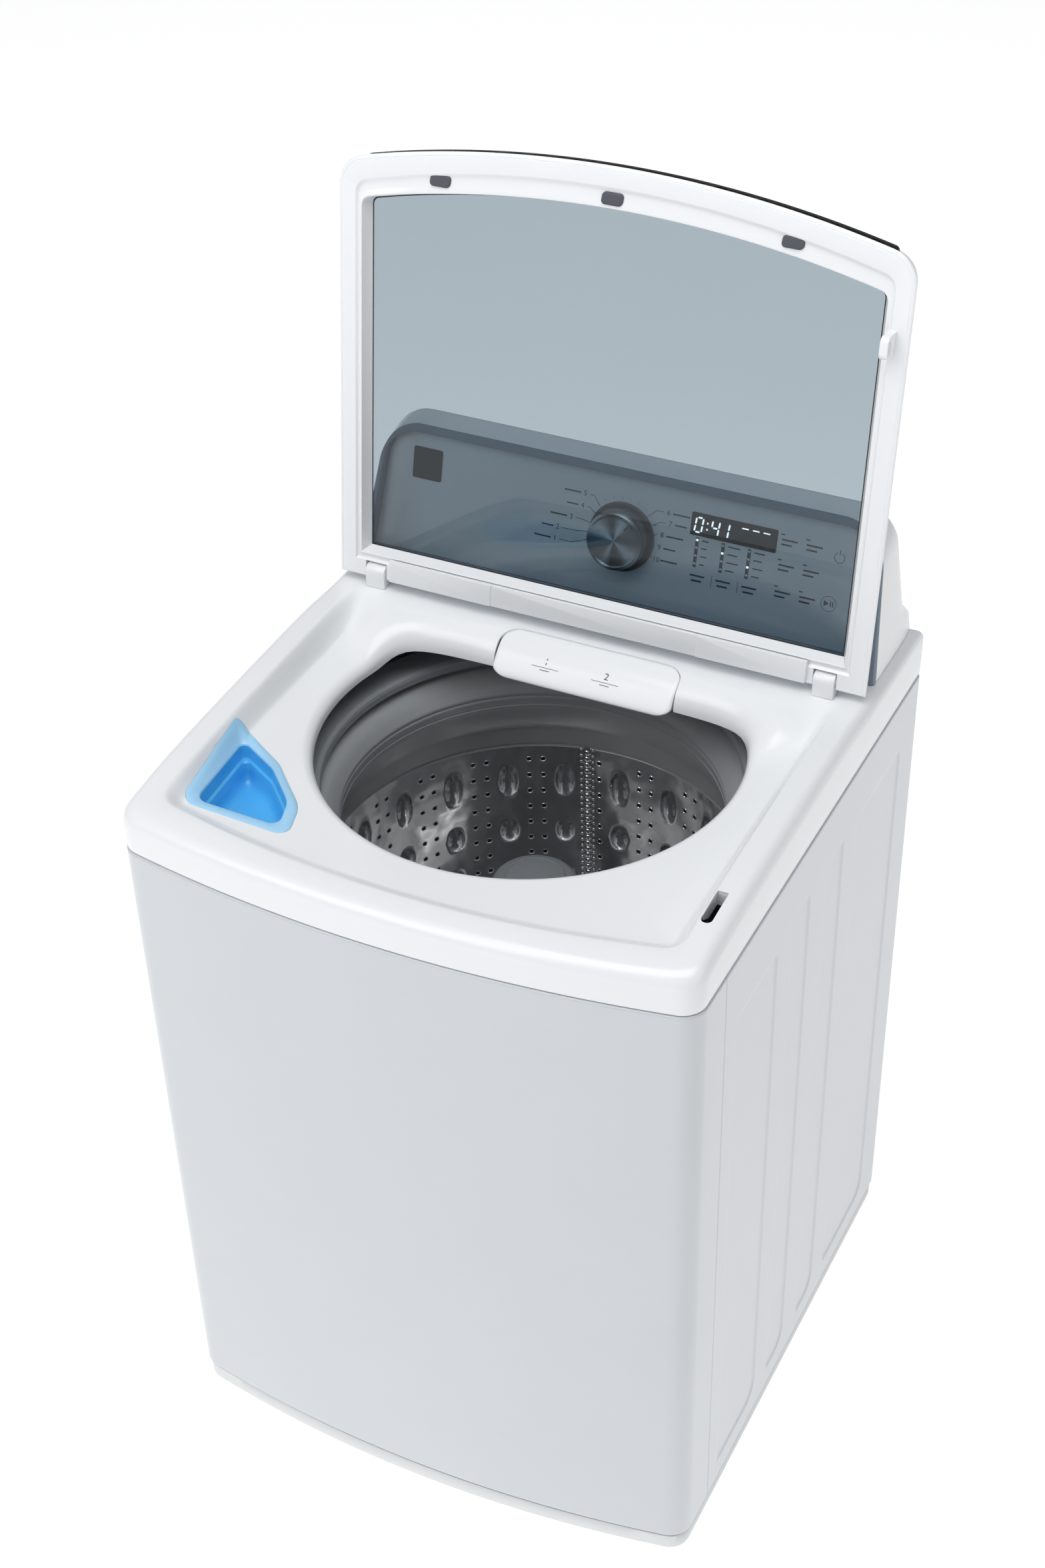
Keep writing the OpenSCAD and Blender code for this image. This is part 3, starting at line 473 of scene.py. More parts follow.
for row in frame["record"]["subparts"]:
    node = frame["nodes"][row["node"]]
    node.data.materials.clear()
    node.data.materials.append(FINISHES[row["material_slot"]])


def add(name, shape, slot, body="cabinet", replaces=(), material=None, **more):
    """A piece in the finish of one of the record's material slots."""
    return piece(name, shape, material or FINISHES[slot], body, slot, replaces, **more)


# Cabinet
low, high = mm("right_side_panel")
HALF = high.x
BACK = high.y
SPLIT = low.y
SHEET_Z = (low.z, high.z)
SEAM_Z = high.z
BOW = 35.1
FRONT = mm("front_panel")[0].y
CORNER_Y = FRONT + BOW
DECK_Z = mm("hinge_knuckles")[0].z - 0.5
FINE = (72, 12, 44, 56)


def cabinet_plan(inset, radius=29.0):
    """The cabinet's outline from above, moved inwards."""
    return bowed(HALF - inset, CORNER_Y + inset, BACK - inset, BOW, max(radius - inset, 6), FINE)


def front_path(inset):
    """The front sheet's outline from its left edge round the front to its right edge."""
    n_front, n_corner, _, _ = FINE
    loop = cabinet_plan(inset)
    start = len(loop) - n_corner
    path = loop[start:] + loop[:n_front + n_corner + 1]
    edge = HALF - inset
    return [(-edge, SPLIT - 0.4)] + path + [(edge, SPLIT - 0.4)]


SHEET_EDGE = [(0.0, 4.0), (0.0, 2.8), (0.35, 1.4), (1.3, 0.4), (2.8, 0.0), (14.0, 0.0)]


def front_sheet():
    rows = [(inset, SHEET_Z[0] + rise) for inset, rise in reversed(SHEET_EDGE)]
    rows += [(0.0, z) for z in steps(SHEET_Z[0] + 12, SEAM_Z - 12, 24)]
    rows += [(inset, SEAM_Z - drop) for inset, drop in SHEET_EDGE]
    shape = Shape().rows([[(x, y, z) for x, y in front_path(inset)] for inset, z in rows])
    sheet = add("front_sheet", shape, "cabinet_enamel", replaces=["front_panel"], facing=False)
    thicken(sheet, 1.2)


EMBOSSED = [(-216, -94, 808), (-54, 3, 820), (51, 108, 820), (149, 297, 820)]


def emboss_depth(y, z):
    """How far the side panel is pressed in at a point, in four tall fields."""
    depth = 0.0
    for y0, y1, top in EMBOSSED:
        cy = (y0 + y1) / 2
        cz = (74 + top) / 2
        large = (y < cy) == (z > cz)
        radius = 28 if large else 5
        dy = abs(y - cy) - (y1 - y0) / 2 + radius
        dz = abs(z - cz) - (top - 74) / 2 + radius
        edge = math.hypot(max(dy, 0), max(dz, 0)) + min(max(dy, dz), 0) - radius
        depth = max(depth, 1.5 * ease(-edge, -0.5, 5.5))
    return depth


def side_sheet(name, node, side):
    columns = [(inset, SPLIT + 0.4 + along * 0.7) for inset, along in reversed(SHEET_EDGE)]
    columns += [(0.0, y) for y in steps(SPLIT + 6, BACK - 8, 236)]
    turn = [math.radians(a) for a in range(0, 91, 15)]
    columns += [(4 * (1 - math.cos(a)), BACK - 4 + 4 * math.sin(a)) for a in turn] + [(22, BACK)]
    rows = [(inset, SHEET_Z[0] + rise) for inset, rise in reversed(SHEET_EDGE)]
    rows += [(0.0, z) for z in steps(SHEET_Z[0] + 10, 116, 26)]
    rows += [(0.0, z) for z in steps(140, 760, 24)]
    rows += [(0.0, z) for z in steps(776, SEAM_Z - 8, 44)]
    rows += [(inset, SEAM_Z - drop) for inset, drop in SHEET_EDGE]
    grid = [
        [(side * (HALF - max(ci, ri, emboss_depth(y, z))), y, z) for ci, y in columns[::side]]
        for ri, z in rows
    ]
    sheet = add(name, Shape().rows(grid), "cabinet_enamel", replaces=[node], facing=False)
    thicken(sheet, 1.2)


def rear_sheet():
    """The rear panel, pressed with tall ribs and a rim."""
    low, high = mm("rear_panel")
    face = low.y + 1.2
    xs = steps(low.x + 3, high.x - 3, 210)
    zs = steps(low.z + 3, high.z - 3, 140)

    def depth(x, z):
        rib = 0.0
        for cx in (-180, -90, 0, 90):
            edge = math.hypot(x - cx, max(abs(z - 390) - 238, 0))
            rib = max(rib, 5.5 * (1 - ease(edge, 6, 15)))
        return rib

    grid = [[(x, face + depth(x, z), z) for x in xs] for z in zs]
    top = BACK - 1.3

    def rim(y, out):
        row_x = [low.x + out] + xs[1:-1] + [high.x - out]
        row_z = [low.z + out] + zs[1:-1] + [high.z - out]
        loop = [(x, y, row_z[0]) for x in row_x]
        loop += [(row_x[-1], y, z) for z in row_z[1:]]
        loop += [(x, y, row_z[-1]) for x in row_x[-2::-1]]
        return loop + [(row_x[0], y, z) for z in row_z[-2:0:-1]]

    shape = Shape().rows(grid)
    shape.rows([rim(face, 3), rim(face + 0.6, 0.9), rim(face + 3, 0), rim(top, 0)], closed=True)
    sheet = add("rear_sheet", shape, "galvanised_steel", replaces=["rear_panel"], facing=False)
    thicken(sheet, 1.0, offset=1)


def plinth():
    """The band under the sheets, set in a little, and above it a grey strip painted as the shadow under the
    sheets' edge.
    """
    top = mm("base_frame")[1].z
    foot = mm("base_frame")[0].z - 5
    split = SHEET_Z[0] - 4.6
    rings = [(12.4, foot), (7, foot), (4.2, foot + 1.2), (3, foot + 4), (3, split - 0.8), (3.6, split),
             (12.4, split)]
    skirt = Shape().rows([[(x, y, z) for x, y in cabinet_plan(d)] for d, z in rings], closed=True, loop=True)
    add("base_skirt", skirt, "base_plastic")
    # Painted shadow: a grey strip just under the sheets' edge, where they shade the band.
    strip = Shape().band(cabinet_plan(3.9), cabinet_plan(9.5), split - 0.4, min(SHEET_Z[0] + 1, top + 1))
    add("base_painted_shadow", strip, "base_plastic", material=PAINTED_SHADOW)


front_sheet()
plinth()
side_sheet("right_side_sheet", "right_side_panel", 1)
side_sheet("left_side_sheet", "left_side_panel", -1)
rear_sheet()

# Top cover
RIDGE = [(-353, 938), (-318, 940.5), (-296, 944), (-209, 953), (-65, 958.4), (87, 961), (170, 957.5),
         (353, 957.5)]
PAD = [(-353, 932), (60, 933.4), (110, 937), (165, 956), (353, 956.5)]
MOUTH_R = 244.5
MOUTH_Y = 6.0
MOUTH_BACK = 124.0
PAD_INSET = 54.0
LEDGE = (15.0, 34.0)
COVER_T = 2.5


def mouth_reach(angle):
    """From the mouth's centre to its edge: a circle cut by a straight rear edge, blended."""
    chord = (MOUTH_BACK - MOUTH_Y) / max(math.sin(angle), 0.01)
    return MOUTH_R * (1 + (MOUTH_R / chord) ** 10) ** -0.1


PAD_LINE = cabinet_plan(PAD_INSET, 52)
MOUTH_ANGLES = [math.atan2(y - MOUTH_Y, x) for x, y in PAD_LINE]


def mouth_line(grow):
    """The mouth's outline, grown by a number or by a function of y."""
    line = []
    for a in MOUTH_ANGLES:
        reach = mouth_reach(a)
        extra = grow(MOUTH_Y + reach * math.sin(a)) if callable(grow) else grow
        line.append((reach + extra, a))
    return [(r * math.cos(a), MOUTH_Y + r * math.sin(a)) for r, a in line]


def rearness(y):
    return ease(y, 55, 116)


def lip_z(y):
    return mix(909, 921, ease(y, 70, 118))


def roll_width(y):
    return mix(14, 45, rearness(y))


def roll_start(y):
    return mix(914, 921.6, rearness(y))


def roll_rise(y):
    return mix(12.5, 33.2, rearness(y))


def ridge_ring(inset, drop, radius=29.0):
    return [(x, y, curve(y, RIDGE) - drop) for x, y in cabinet_plan(inset, radius + inset)]


def roll_ring(angle, under=0.0):
    """A ring on the mouth's rolled edge; angle is 90 where it meets the deck and 0 where it is upright."""
    share = 1 - math.cos(math.radians(angle))
    lift = math.sin(math.radians(angle))
    line = mouth_line(lambda y: (roll_width(y) - under) * share + under)
    edge = mouth_line(0.0)
    return [
        (x, y, roll_start(ey) + (roll_rise(ey) - under) * lift) for (x, y), (_, ey) in zip(line, edge)
    ]


def lip_ring(grow, lift):
    return [(x, y, lip_z(y) + lift) for x, y in mouth_line(grow)]


def between(a, b, t, sag=0.0):
    """A ring part of the way between two rings, hollowed a little."""
    return [
        tuple(mix(p, q, t) - (sag if k == 2 else 0) for k, (p, q) in enumerate(zip(m, n)))
        for m, n in zip(a, b)
    ]


def top_cover():
    skirt = 1.0
    rings = [[(x, y, SEAM_Z + 1.6) for x, y in cabinet_plan(skirt + 1.2)]]
    rings += [
        [(x, y, SEAM_Z + rise) for x, y in cabinet_plan(skirt + inset)]
        for inset, rise in [(0.35, 1.9), (0, 3)]
    ]
    rings += [[(x, y, SEAM_Z + 14) for x, y in cabinet_plan(skirt * 0.8)]]
    for a in range(0, 91, 9):
        turn = math.radians(a)
        inset = LEDGE[0] * (1 - math.cos(turn)) + skirt * 0.5 * math.cos(turn)
        rings.append(ridge_ring(inset, 16 * (1 - math.sin(turn)), 30))
    ledge = ridge_ring(LEDGE[1], 0.5)
    rings.append(between(rings[-1], ledge, 0.5, -0.15))
    rings.append(ledge)
    pad = [(x, y, curve(y, PAD)) for x, y in PAD_LINE]

    def slope(t, under=0):
        """A ring on the way down from the ledge to the pad."""
        drop = ease(t, 0, 1)
        return [
            (mix(a[0], b[0], t), mix(a[1], b[1], t), mix(a[2], b[2], drop) - under)
            for a, b in zip(ledge, pad)
        ]

    rings += [slope(t) for t in (0.1, 0.22, 0.36, 0.5, 0.64, 0.78, 0.9, 1.0)]
    top = roll_ring(90)
    rings += [between(pad, top, t) for t in (0.15, 0.35, 0.6, 0.85)]
    rings += [roll_ring(a) for a in range(90, -1, -9)]
    rings += [lip_ring(0, 2), lip_ring(0, 0.7), lip_ring(0.7, 0), lip_ring(1.8, 0), lip_ring(COVER_T, 0.7)]
    rings += [roll_ring(a, COVER_T) for a in range(0, 91, 30)]
    rings += [[(x, y, z - 4) for x, y, z in ring] for ring in (between(pad, top, 0.5), pad)]
    rings += [slope(t, 5) for t in (0.8, 0.6, 0.4, 0.2)]
    rings += [
        ridge_ring(LEDGE[1] + 1.5, 5.0), ridge_ring(15.5, 3.4), ridge_ring(11, 4.6), ridge_ring(6, 9),
        ridge_ring(3.4, 17), [(x, y, SEAM_Z + 1.6) for x, y in cabinet_plan(3.4)],
    ]
    shape = Shape().rows(rings, closed=True, loop=True)
    cover = add("top_cover_moulding", shape, "cover_plastic", replaces=["top_cover"])
    data = cover.data
    tree = BVHTree.FromPolygons([v.co for v in data.vertices], [p.vertices for p in data.polygons])
    face = Shape().prism(rounded(FACE_HOLE, [1, 1, 26, 26], 10), 900, 975)
    cup = Shape().prism(cup_plan(1.006), 915, 975)
    slot = Shape().prism(rounded(SLOT, [6, 6, 1.5, 1.5]), 925, 975)
    carve(cover, face, cup, slot, angle=32)
    return tree


low, high = mm("drawer_front")
FACE_X = (low.x + 0.4, high.x - 0.4)
FACE_HOLE = [(low.x - 1, 90), (high.x + 1, 90), (high.x + 1, 164.6), (low.x - 1, 164.6)]
low, high = mm("lid_lock_housing")
SLOT = [(308.2, low.y + 5), (320.8, low.y + 5), (320.8, high.y - 5), (308.2, high.y - 5)]
CUP_CENTRE = (-240.0, -208.0)
CUP_CORNERS = [(-304, -113), (-294, -262), (-156, -268), (-172, -214), (-232, -154)]


def cup_plan(scale):
    line = rounded(CUP_CORNERS, [8, 22, 13, 60, 60], 10, 6)
    cx, cy = CUP_CENTRE
    return [(cx + (x - cx) * scale, cy + (y - cy) * scale) for x, y in line]


def cup_ring(scale, z):
    return [(x, y, z) for x, y in cup_plan(scale)]


def deck_z(x, y):
    """Height of the top cover, before its holes, over a point."""
    hit = DECK.ray_cast(Vector((x, y, 1200)) * MM, Vector((0, 0, -1)))[0]
    return hit.z / MM


def bleach_cup():
    top = mm("bleach_cup")[1].z
    floor = mm("bleach_cup")[0].z + 2.5
    rim = [deck_z(x, y) for x, y in cup_plan(1.0)]

    def flange_ring(scale, lift):
        share = min((1 - scale) / 0.2, 1)
        return [(x, y, mix(z, top, share) + lift) for (x, y), z in zip(cup_plan(scale), rim)]

    flange = [flange_ring(*pair) for pair in (
        (1.0, -2.6), (1.004, -0.2), (1.0, 0.5), (0.992, 0.8), (0.90, 0.2), (0.80, -1.2), (0.785, -1.9),
        (0.776, -3.4), (0.776, -4.5), (0.80, -4.5), (0.98, -3.6),
    )]
    add("bleach_flange", Shape().rows(flange, closed=True, loop=True), "cup_blue", replaces=["bleach_cup"],
        material=FLANGE_BLUE)
    well = [cup_ring(*pair) for pair in (
        (0.776, top - 4.4), (0.768, top - 12), (0.765, top - 18), (0.755, top - 19.5), (0.70, top - 20.5),
        (0.686, top - 22), (0.68, top - 34), (0.66, top - 41), (0.61, floor + 2.5), (0.52, floor + 0.4),
        (0.3, floor), (0.02, floor),
    )]
    shape = Shape().rows(well, closed=True).cap(well[-1])
    body = add("bleach_well", shape, "cup_blue", material=WELL_BLUE, facing=False)
    thicken(body, 1.6)
    # Painted shade: three dark blocks in the well stand for the shade inside its vent slots.
    vent_shades = Shape()
    for i in range(3):
        vent_shades.box((-262 + 17 * i, -251 + 17 * i), (-250.5, -247.5), (top - 17, top - 9))
    add("bleach_vent_painted_shade", vent_shades, "cup_blue", material=SHADE_PAINT)


FACE_CURVE = [
    (164, 955.0), (158, 954.3), (152, 953.2), (145, 951), (137, 946.6), (129, 940.4), (122, 933),
    (116, 925.4), (111.5, 918),
]


def drawer_face():
    """The drawer's curved front: a crowned panel with round corners and a skirt behind its edge."""
    rows_y = [p[0] for p in FACE_CURVE]
    table = [(i, z) for i, (_, z) in enumerate(FACE_CURVE)]
    table_y = [(i, y) for i, y in enumerate(rows_y)]
    last = len(FACE_CURVE) - 1
    samples = steps(0, last, 48)
    line = [(curve(t, table_y), curve(t, table)) for t in samples]
    line[0] = FACE_CURVE[0]
    line[-1] = FACE_CURVE[-1]
    along = [0.0]
    for a, b in zip(line, line[1:]):
        along.append(along[-1] + math.dist(a, b))
    total = along[-1]
    middle = (FACE_X[0] + FACE_X[1]) / 2
    wide = (FACE_X[1] - FACE_X[0]) / 2
    shares = [math.sin(math.pi / 2 * t) for t in steps(-1, 1, 56)]
    grid = []
    for (y, z), s in zip(line, along):
        top_cut = 24 - math.sqrt(max(24 ** 2 - max(24 - s, 0) ** 2, 0))
        low_s = max(12 - (total - s), 0) / 12
        low_cut = 24 * (1 - math.sqrt(max(1 - low_s ** 2, 0)))
        inward = Vector((166 - y, 900 - z)).normalized()
        half_here = wide - max(top_cut, low_cut)
        row = []
        for t in shares:
            x = middle + half_here * t
            edge = min(half_here * (1 - abs(t)), s, total - s)
            back = 2.2 * (1 - math.sqrt(max(1 - (1 - min(edge, 3.5) / 3.5) ** 2, 0)))
            back += 0.8 * (abs(x - middle) / wide) ** 4
            row.append((x, y + inward.x * back, z + inward.y * back))
        grid.append(row)
    rim = grid[0] + [r[-1] for r in grid[1:]] + grid[-1][-2::-1] + [r[0] for r in grid[-2:0:-1]]

    def behind(depth):
        ring = []
        for x, y, z in rim:
            way = Vector((166 - y, 905 - z)).normalized()
            ring.append((mix(x, middle, depth * 0.0006), y + way.x * depth, z + way.y * depth))
        return ring

    shape = Shape().rows(grid).rows([rim, behind(1.5), behind(4), behind(11)], closed=True)
    add("drawer_face", shape, "cover_plastic", "drawer", replaces=["drawer_front"], facing=False, angle=50)


def face_marks():
    """Two printed numbers on the drawer's face, each over a line."""
    def on_face(x, s, lift):
        y = lookup(s, [(0, 160), (10, 151), (22, 140), (36, 129), (50, 120)])
        z = lookup(y, sorted((p[0], p[1]) for p in FACE_CURVE)) + 0.35
        return (x, y - lift * 0.5, z + lift * 0.6)

    shape = Shape()
    for x0, number in ((-38, "1"), (38, "2")):
        shape.box((x0 - 17, x0 + 17), (42, 42.6), (-0.3, 0.1))
        shape.box((x0 - 6, x0 + 6), (45.4, 46.2), (-0.3, 0.1))
        digit = Shape()
        figures(digit, [(number, 0, 0, 12)], -0.2)
        start = len(shape.points)
        shape.points.extend((x0 + a, 35 - b, c) for a, b, c in digit.points)
        shape.faces.extend(tuple(start + k for k in f) for f in digit.faces)
    add("drawer_marks", shape.moved(on_face), "cover_plastic", "drawer", material=INK)


def lock_pocket():
    """A white liner down the inner side and the rear of the lid lock's slot, open at its front end."""
    (x0, y0), (x1, _), (_, y1), _ = SLOT
    top = deck_z(x0 - 2, (y0 + y1) / 2) - 0.6
    turn = mix(y0, y1, 0.22)
    side = [(turn, top), (y1 + 1.2, top), (y1 + 1.2, top - 15), (mix(turn, y1, 0.35), top - 15),
            (turn, top - 7)]
    liner = Shape().solid([[(x, y, z) for y, z in side] for x in (x0 - 1.2, x0 + 0.2)])
    liner.box((x0, x1), (y1 - 0.2, y1 + 1.2), (top - 15, top))
    add("lock_guide", liner, "cover_plastic")


DECK = top_cover()
bleach_cup()
lock_pocket()
drawer_face()


# Slabs that stand at an angle: the lid and the control panel
def slab_frame(node, l0, l1):
    """Places (across, along, out) on a slab. node is a flat CAD block that lies on it from l0 to l1."""
    mesh = frame["nodes"][node].data
    points = {(round(v.co.y / MM, 3), round(v.co.z / MM, 3)) for v in mesh.vertices}
    low_point = max(sorted(points, key=lambda p: p[1])[:2])
    high_point = max(sorted(points, key=lambda p: -p[1])[:2])
    length = l1 - l0
    ly = (high_point[0] - low_point[0]) / length
    lz = (high_point[1] - low_point[1]) / length
    size = math.hypot(ly, lz)
    ly, lz = ly / size, lz / size
    oy = low_point[0] - l0 * ly
    oz = low_point[1] - l0 * lz
    return lambda x, l, m: (x, oy + l * ly - m * lz, oz + l * lz + m * ly)


on_lid = slab_frame("lid_hinge_cover", 2, 30)
on_panel = slab_frame("display_window", 97, 124)

LID_T = 20.0
LID_HALF = 334.0
LID_LENGTH = 533.5
LID_BOW = 41.0
WINDOW_BOW = 35.5
GLASS_BOW = 34.4
LID_COUNTS = (64, 12, 30, 24)


def lid_plan(half, l0, l1, radius, bow=LID_BOW):
    """An outline across and along the lid, with a bow at its free end."""
    return [(x, -y) for x, y in bowed(half, bow - l1, -l0, bow, radius, LID_COUNTS)]


def lid_frame():
    def outer(d, m):
        return [(x, l, m) for x, l in lid_plan(LID_HALF - d, d, LID_LENGTH - d, 38 - d)]

    opening = lid_plan(304.5, 31.5, 487.5, 12, WINDOW_BOW)
    seat_line = lid_plan(299, 36, 485.5, 8, WINDOW_BOW)
    rim = outer(21.5, 0)

    def inner(share, m, rise=0.0):
        """A ring from the rim towards the window; rise is a bead's height along its left and lower edges."""
        ring = []
        for a, b in zip(rim, opening):
            x, l = mix(a[0], b[0], share), mix(a[1], b[1], share)
            ring.append((x, l, m + rise * max(ease(-x, 200, 290), ease(-l, -120, -50))))
        return ring

    rings = [outer(5.2, -16), outer(0.9, -4)]
    rings += [outer(4 * (1 - math.cos(a)), -4 + 4 * math.sin(a)) for a in steps(0.5, math.pi / 2, 5)]
    rings += [outer(4.5, -0.4), outer(5, 0), rim]
    rings += [inner(*row) for row in (
        (0.07, -0.6), (0.18, -2.6), (0.30, -3.4), (0.42, -3.6), (0.60, -3.5), (0.70, -3.4, 0.6),
        (0.82, -3.2, 1.9), (0.90, -3.2, 2.1), (0.97, -3.5, 1.3), (1.0, -4.2, 0.2),
    )]
    rings.append([(x, l, -16) for x, l in seat_line])
    shape = Shape().rows(rings, closed=True, loop=True).moved(on_lid)
    frame_piece = add("lid_moulding", shape, "lid_plastic", "lid", replaces=["lid_frame"])
    high = mm("hinge_knuckles")[1]
    notch = high.x - 25 - 1.5
    cuts = [
        Shape().box((s * notch, s * (high.x + 1.5)), (-5, 21.5), (-21, 1)).moved(on_lid)
        for s in (-1, 1)
    ]
    carve(frame_piece, *cuts, angle=32)
    rail = Shape().prism(lid_plan(LID_HALF - 5.2, 5.2, LID_LENGTH - 5.2, 32.8), -LID_T, -16).moved(on_lid)
    rail_piece = add("lid_back_rail", rail, "lid_plastic", "lid")
    seat = Shape().prism(lid_plan(306.3, 24, LID_LENGTH + 8, 6), -LID_T - 1, -15).moved(on_lid)
    carve(rail_piece, seat, *cuts)


def lid_glass():
    def ring(d, m):
        return [(x, l, m) for x, l in lid_plan(306 - d, 24.3 + d, LID_LENGTH - 2.8 - d, 6 - d, GLASS_BOW)]

    rings = [ring(0.6, -16.3), ring(0, -16.8), ring(0, -19.4), ring(0.6, -LID_T)]
    add("lid_pane", Shape().solid(rings).moved(on_lid), "lid_glass", "lid", replaces=["lid_glass"], angle=25)
    edge = lid_plan(305.6, 24.7, LID_LENGTH - 3.3, 5.6, GLASS_BOW)
    border = Shape().band(edge, lid_plan(297.7, 37.4, 484.4, 8, WINDOW_BOW), -16.25, -16.1)
    rim = lid_plan(306.1, 24.2, LID_LENGTH - 2.7, 6, GLASS_BOW)
    border.band(rim, lid_plan(303, 27, LID_LENGTH - 5.5, 4, GLASS_BOW), -19.8, -16.1)
    add("lid_frit", border.moved(on_lid), "lid_glass", "lid", material=FRIT)


def lid_fittings():
    for i, (x, l) in enumerate([(-209, 485.5), (-6, 498.5), (198, 487.5)]):
        lean = 0.16
        rings = []
        for d, m in [(0, -4.9), (0, -2.6), (0.5, -1.7), (1.4, -1.1), (3.0, -0.9)]:
            line = rounded_box((-12.5 + d, 12.5 - d), (-7 + d, 7 - d), 5 - d)
            rings.append([(x + a + b * lean, l + b, m) for a, b in line])
        shape = Shape().solid(rings).moved(on_lid)
        add(f"lid_bumper_{i + 1}", shape, "bumper_grey", "lid", replaces=["lid_bumpers"])
    outer = rounded([(392, -4), (417, -4), (417, 26), (392, 26)], [1, 1, 7, 7], 8)
    inner = rounded_box((397, 411), (13.5, 22.5), 3)
    strike = Shape().band(outer, inner, 310, 319).moved(lambda l, m, x: on_lid(x, l, m))
    thing = add("lid_striker_bracket", strike, "lid_plastic", "lid", replaces=["lid_striker"])
    round_edges(thing, 0.8, 30)
    settle(thing, 50)
    strip = Shape()
    for x0, x1, top in [(-265, -130, 4.8), (-130, 130, 3.6), (130, 263, 4.8)]:
        rings = []
        for d, m in [(0, 0), (0, top - 1), (0.3, top - 0.3), (1, top)]:
            side = 0 if top < 4 else d
            line = rounded_box((x0 + side, x1 - side), (2.4 + d, 29.6 - d), 1.2, 4)
            rings.append([(x, l, m) for x, l in line])
        strip.solid(rings)
    add("lid_hinge_strip", strip.moved(on_lid), "lid_plastic", "lid", replaces=["lid_hinge_cover"])


def knuckles():
    low, high = mm("hinge_knuckles")
    hinge_y = (low.y + high.y) / 2
    radius = (high.y - low.y) / 2
    hinge_z = high.z - radius
    for side, name in ((-1, "left"), (1, "right")):
        rings = []
        for d, x in [(1.2, 0), (0.35, 0.35), (0, 1.2), (0, 23.8), (0.35, 24.65), (1.2, 25)]:
            r = radius - d
            loop = [(hinge_y + r * math.cos(a), hinge_z + r * math.sin(a)) for a in steps(0, math.pi, 24)]
            loop += [(hinge_y - r, DECK_Z - 0.5), (hinge_y + r, DECK_Z - 0.5)]
            rings.append([(side * (high.x - 25 + x), y, z) for y, z in loop])
        add(f"hinge_barrel_{name}", Shape().solid(rings), "cover_plastic", replaces=["hinge_knuckles"])


lid_frame()
lid_glass()
lid_fittings()
knuckles()

# Console
PANEL_H = 154.0
KNOB_UP = 76
low, high = mm("console_housing")
CONSOLE_TOP = high.z
BASE_Z = low.z


def panel_ring(grow, height):
    """A ring round the control panel; height is a number or a function of the distance up the panel."""
    line = rounded(
        [(-320 - grow, -grow), (320 + grow, -grow), (304 + grow, PANEL_H + grow),
         (-304 - grow, PANEL_H + grow)],
        [3 + max(grow, -2), 3 + max(grow, -2), 45 + grow, 45 + grow], 14, 30)
    return [on_panel(x, l, height(l) if callable(height) else height) for x, l in line]


def front_line(z):
    return lookup(z, [(BASE_Z, 212), (985, 222), (1122, 270), (1140, 276.3)])


def back_line(z):
    return lookup(z, [(BASE_Z, 350), (978, 348), (1000, 326), (1140, 313.2)])


def console_ring(inset, top, depth):
    """The housing's silhouette at a share depth of the way from its front to its back."""
    line = rounded(
        [(-331 + inset, BASE_Z), (331 - inset, BASE_Z), (312 - inset, top), (-312 + inset, top)],
        [2, 2, 48, 48], 14, 30)
    return [(x, mix(front_line(z), back_line(z), depth), z) for x, z in line]


def console_housing():
    def rim(drop):
        return lambda l: 18 - 0.075 * l - drop

    rings = [panel_ring(0, -2.5)]
    rings += [panel_ring(g, rim(drop)) for g, drop in ((0, 2.5), (0.3, 1.2), (1.1, 0.3), (2.4, 0), (4.2, 0))]
    top = CONSOLE_TOP
    rings += [console_ring(*row) for row in (
        (2.2, 1119.4, 0.004), (0.8, 1121, 0.02), (0.2, 1122.2, 0.045), (0, 1123.6, 0.1), (0, 1126.2, 0.3),
        (0, top - 1, 0.6), (0.3, top, 0.76), (1, top - 0.6, 0.85), (2.6, top - 2.4, 0.93),
        (5, top - 5.6, 0.98), (8.5, top - 10, 1.0),
    )]
    middle = [(0, y, z) for _, y, z in rings[-1]]
    back = [panel_ring(-40, -2.5), [on_panel(0, PANEL_H / 2, -2.5)] * len(middle)]
    split = 9
    bezel = Shape().rows(rings[:split], closed=True, loop=True)
    add("console_bezel", bezel, "cover_plastic", material=SLATE, angle=38)
    shell = list(reversed(back)) + [panel_ring(0, -2.6)] + rings[split - 1:] + [middle]
    shape = Shape().rows(shell, closed=True)
    add("console_moulding", shape, "cover_plastic", replaces=["console_housing"], angle=38)
    plate = Shape()
    rings = []
    for d, out in [(0, -0.6), (0, 0.3), (0.4, 0.75), (1.2, 0.9)]:
        line = rounded_box((-279.5 + d, 279.5 - d), (1009 + d, 1089 - d), 6 - d, 6)
        rings.append([(x, back_line(z) + out, z) for x, z in line])
    plate.solid(rings)
    for i in range(9):
        x = -96 + 24 * i
        line = rounded_box((x - 8, x + 8), (1046, 1050), 1.9, 4)
        plate.solid([[(a, back_line(z) + out, z) for a, z in line] for out in (0.6, 1.5)])
    add("console_back_plate", plate, "galvanised_steel", replaces=["console_rear_cover"])


def facia():
    rings = [panel_ring(-0.4, -2.4), panel_ring(-0.4, -0.5), panel_ring(-0.6, -0.15), panel_ring(-1.0, 0)]
    middle = [on_panel(0, PANEL_H / 2, 0)] * len(rings[0])
    shape = Shape().rows(rings + [panel_ring(-30, 0), middle], closed=True)
    add("control_facia", shape, "panel_silver", replaces=["console_facia"], facing=False)
    rings = []
    for d, m in [(0, 0), (0, 0.5), (0.5, 0.8)]:
        line = rounded_box((83 + d, 188 - d), (97 + d, 124 - d), 2 - d, 5)
        rings.append([(x, l, m) for x, l in line])
    add("display_pane", Shape().solid(rings).moved(on_panel), "display_black", replaces=["display_window"])


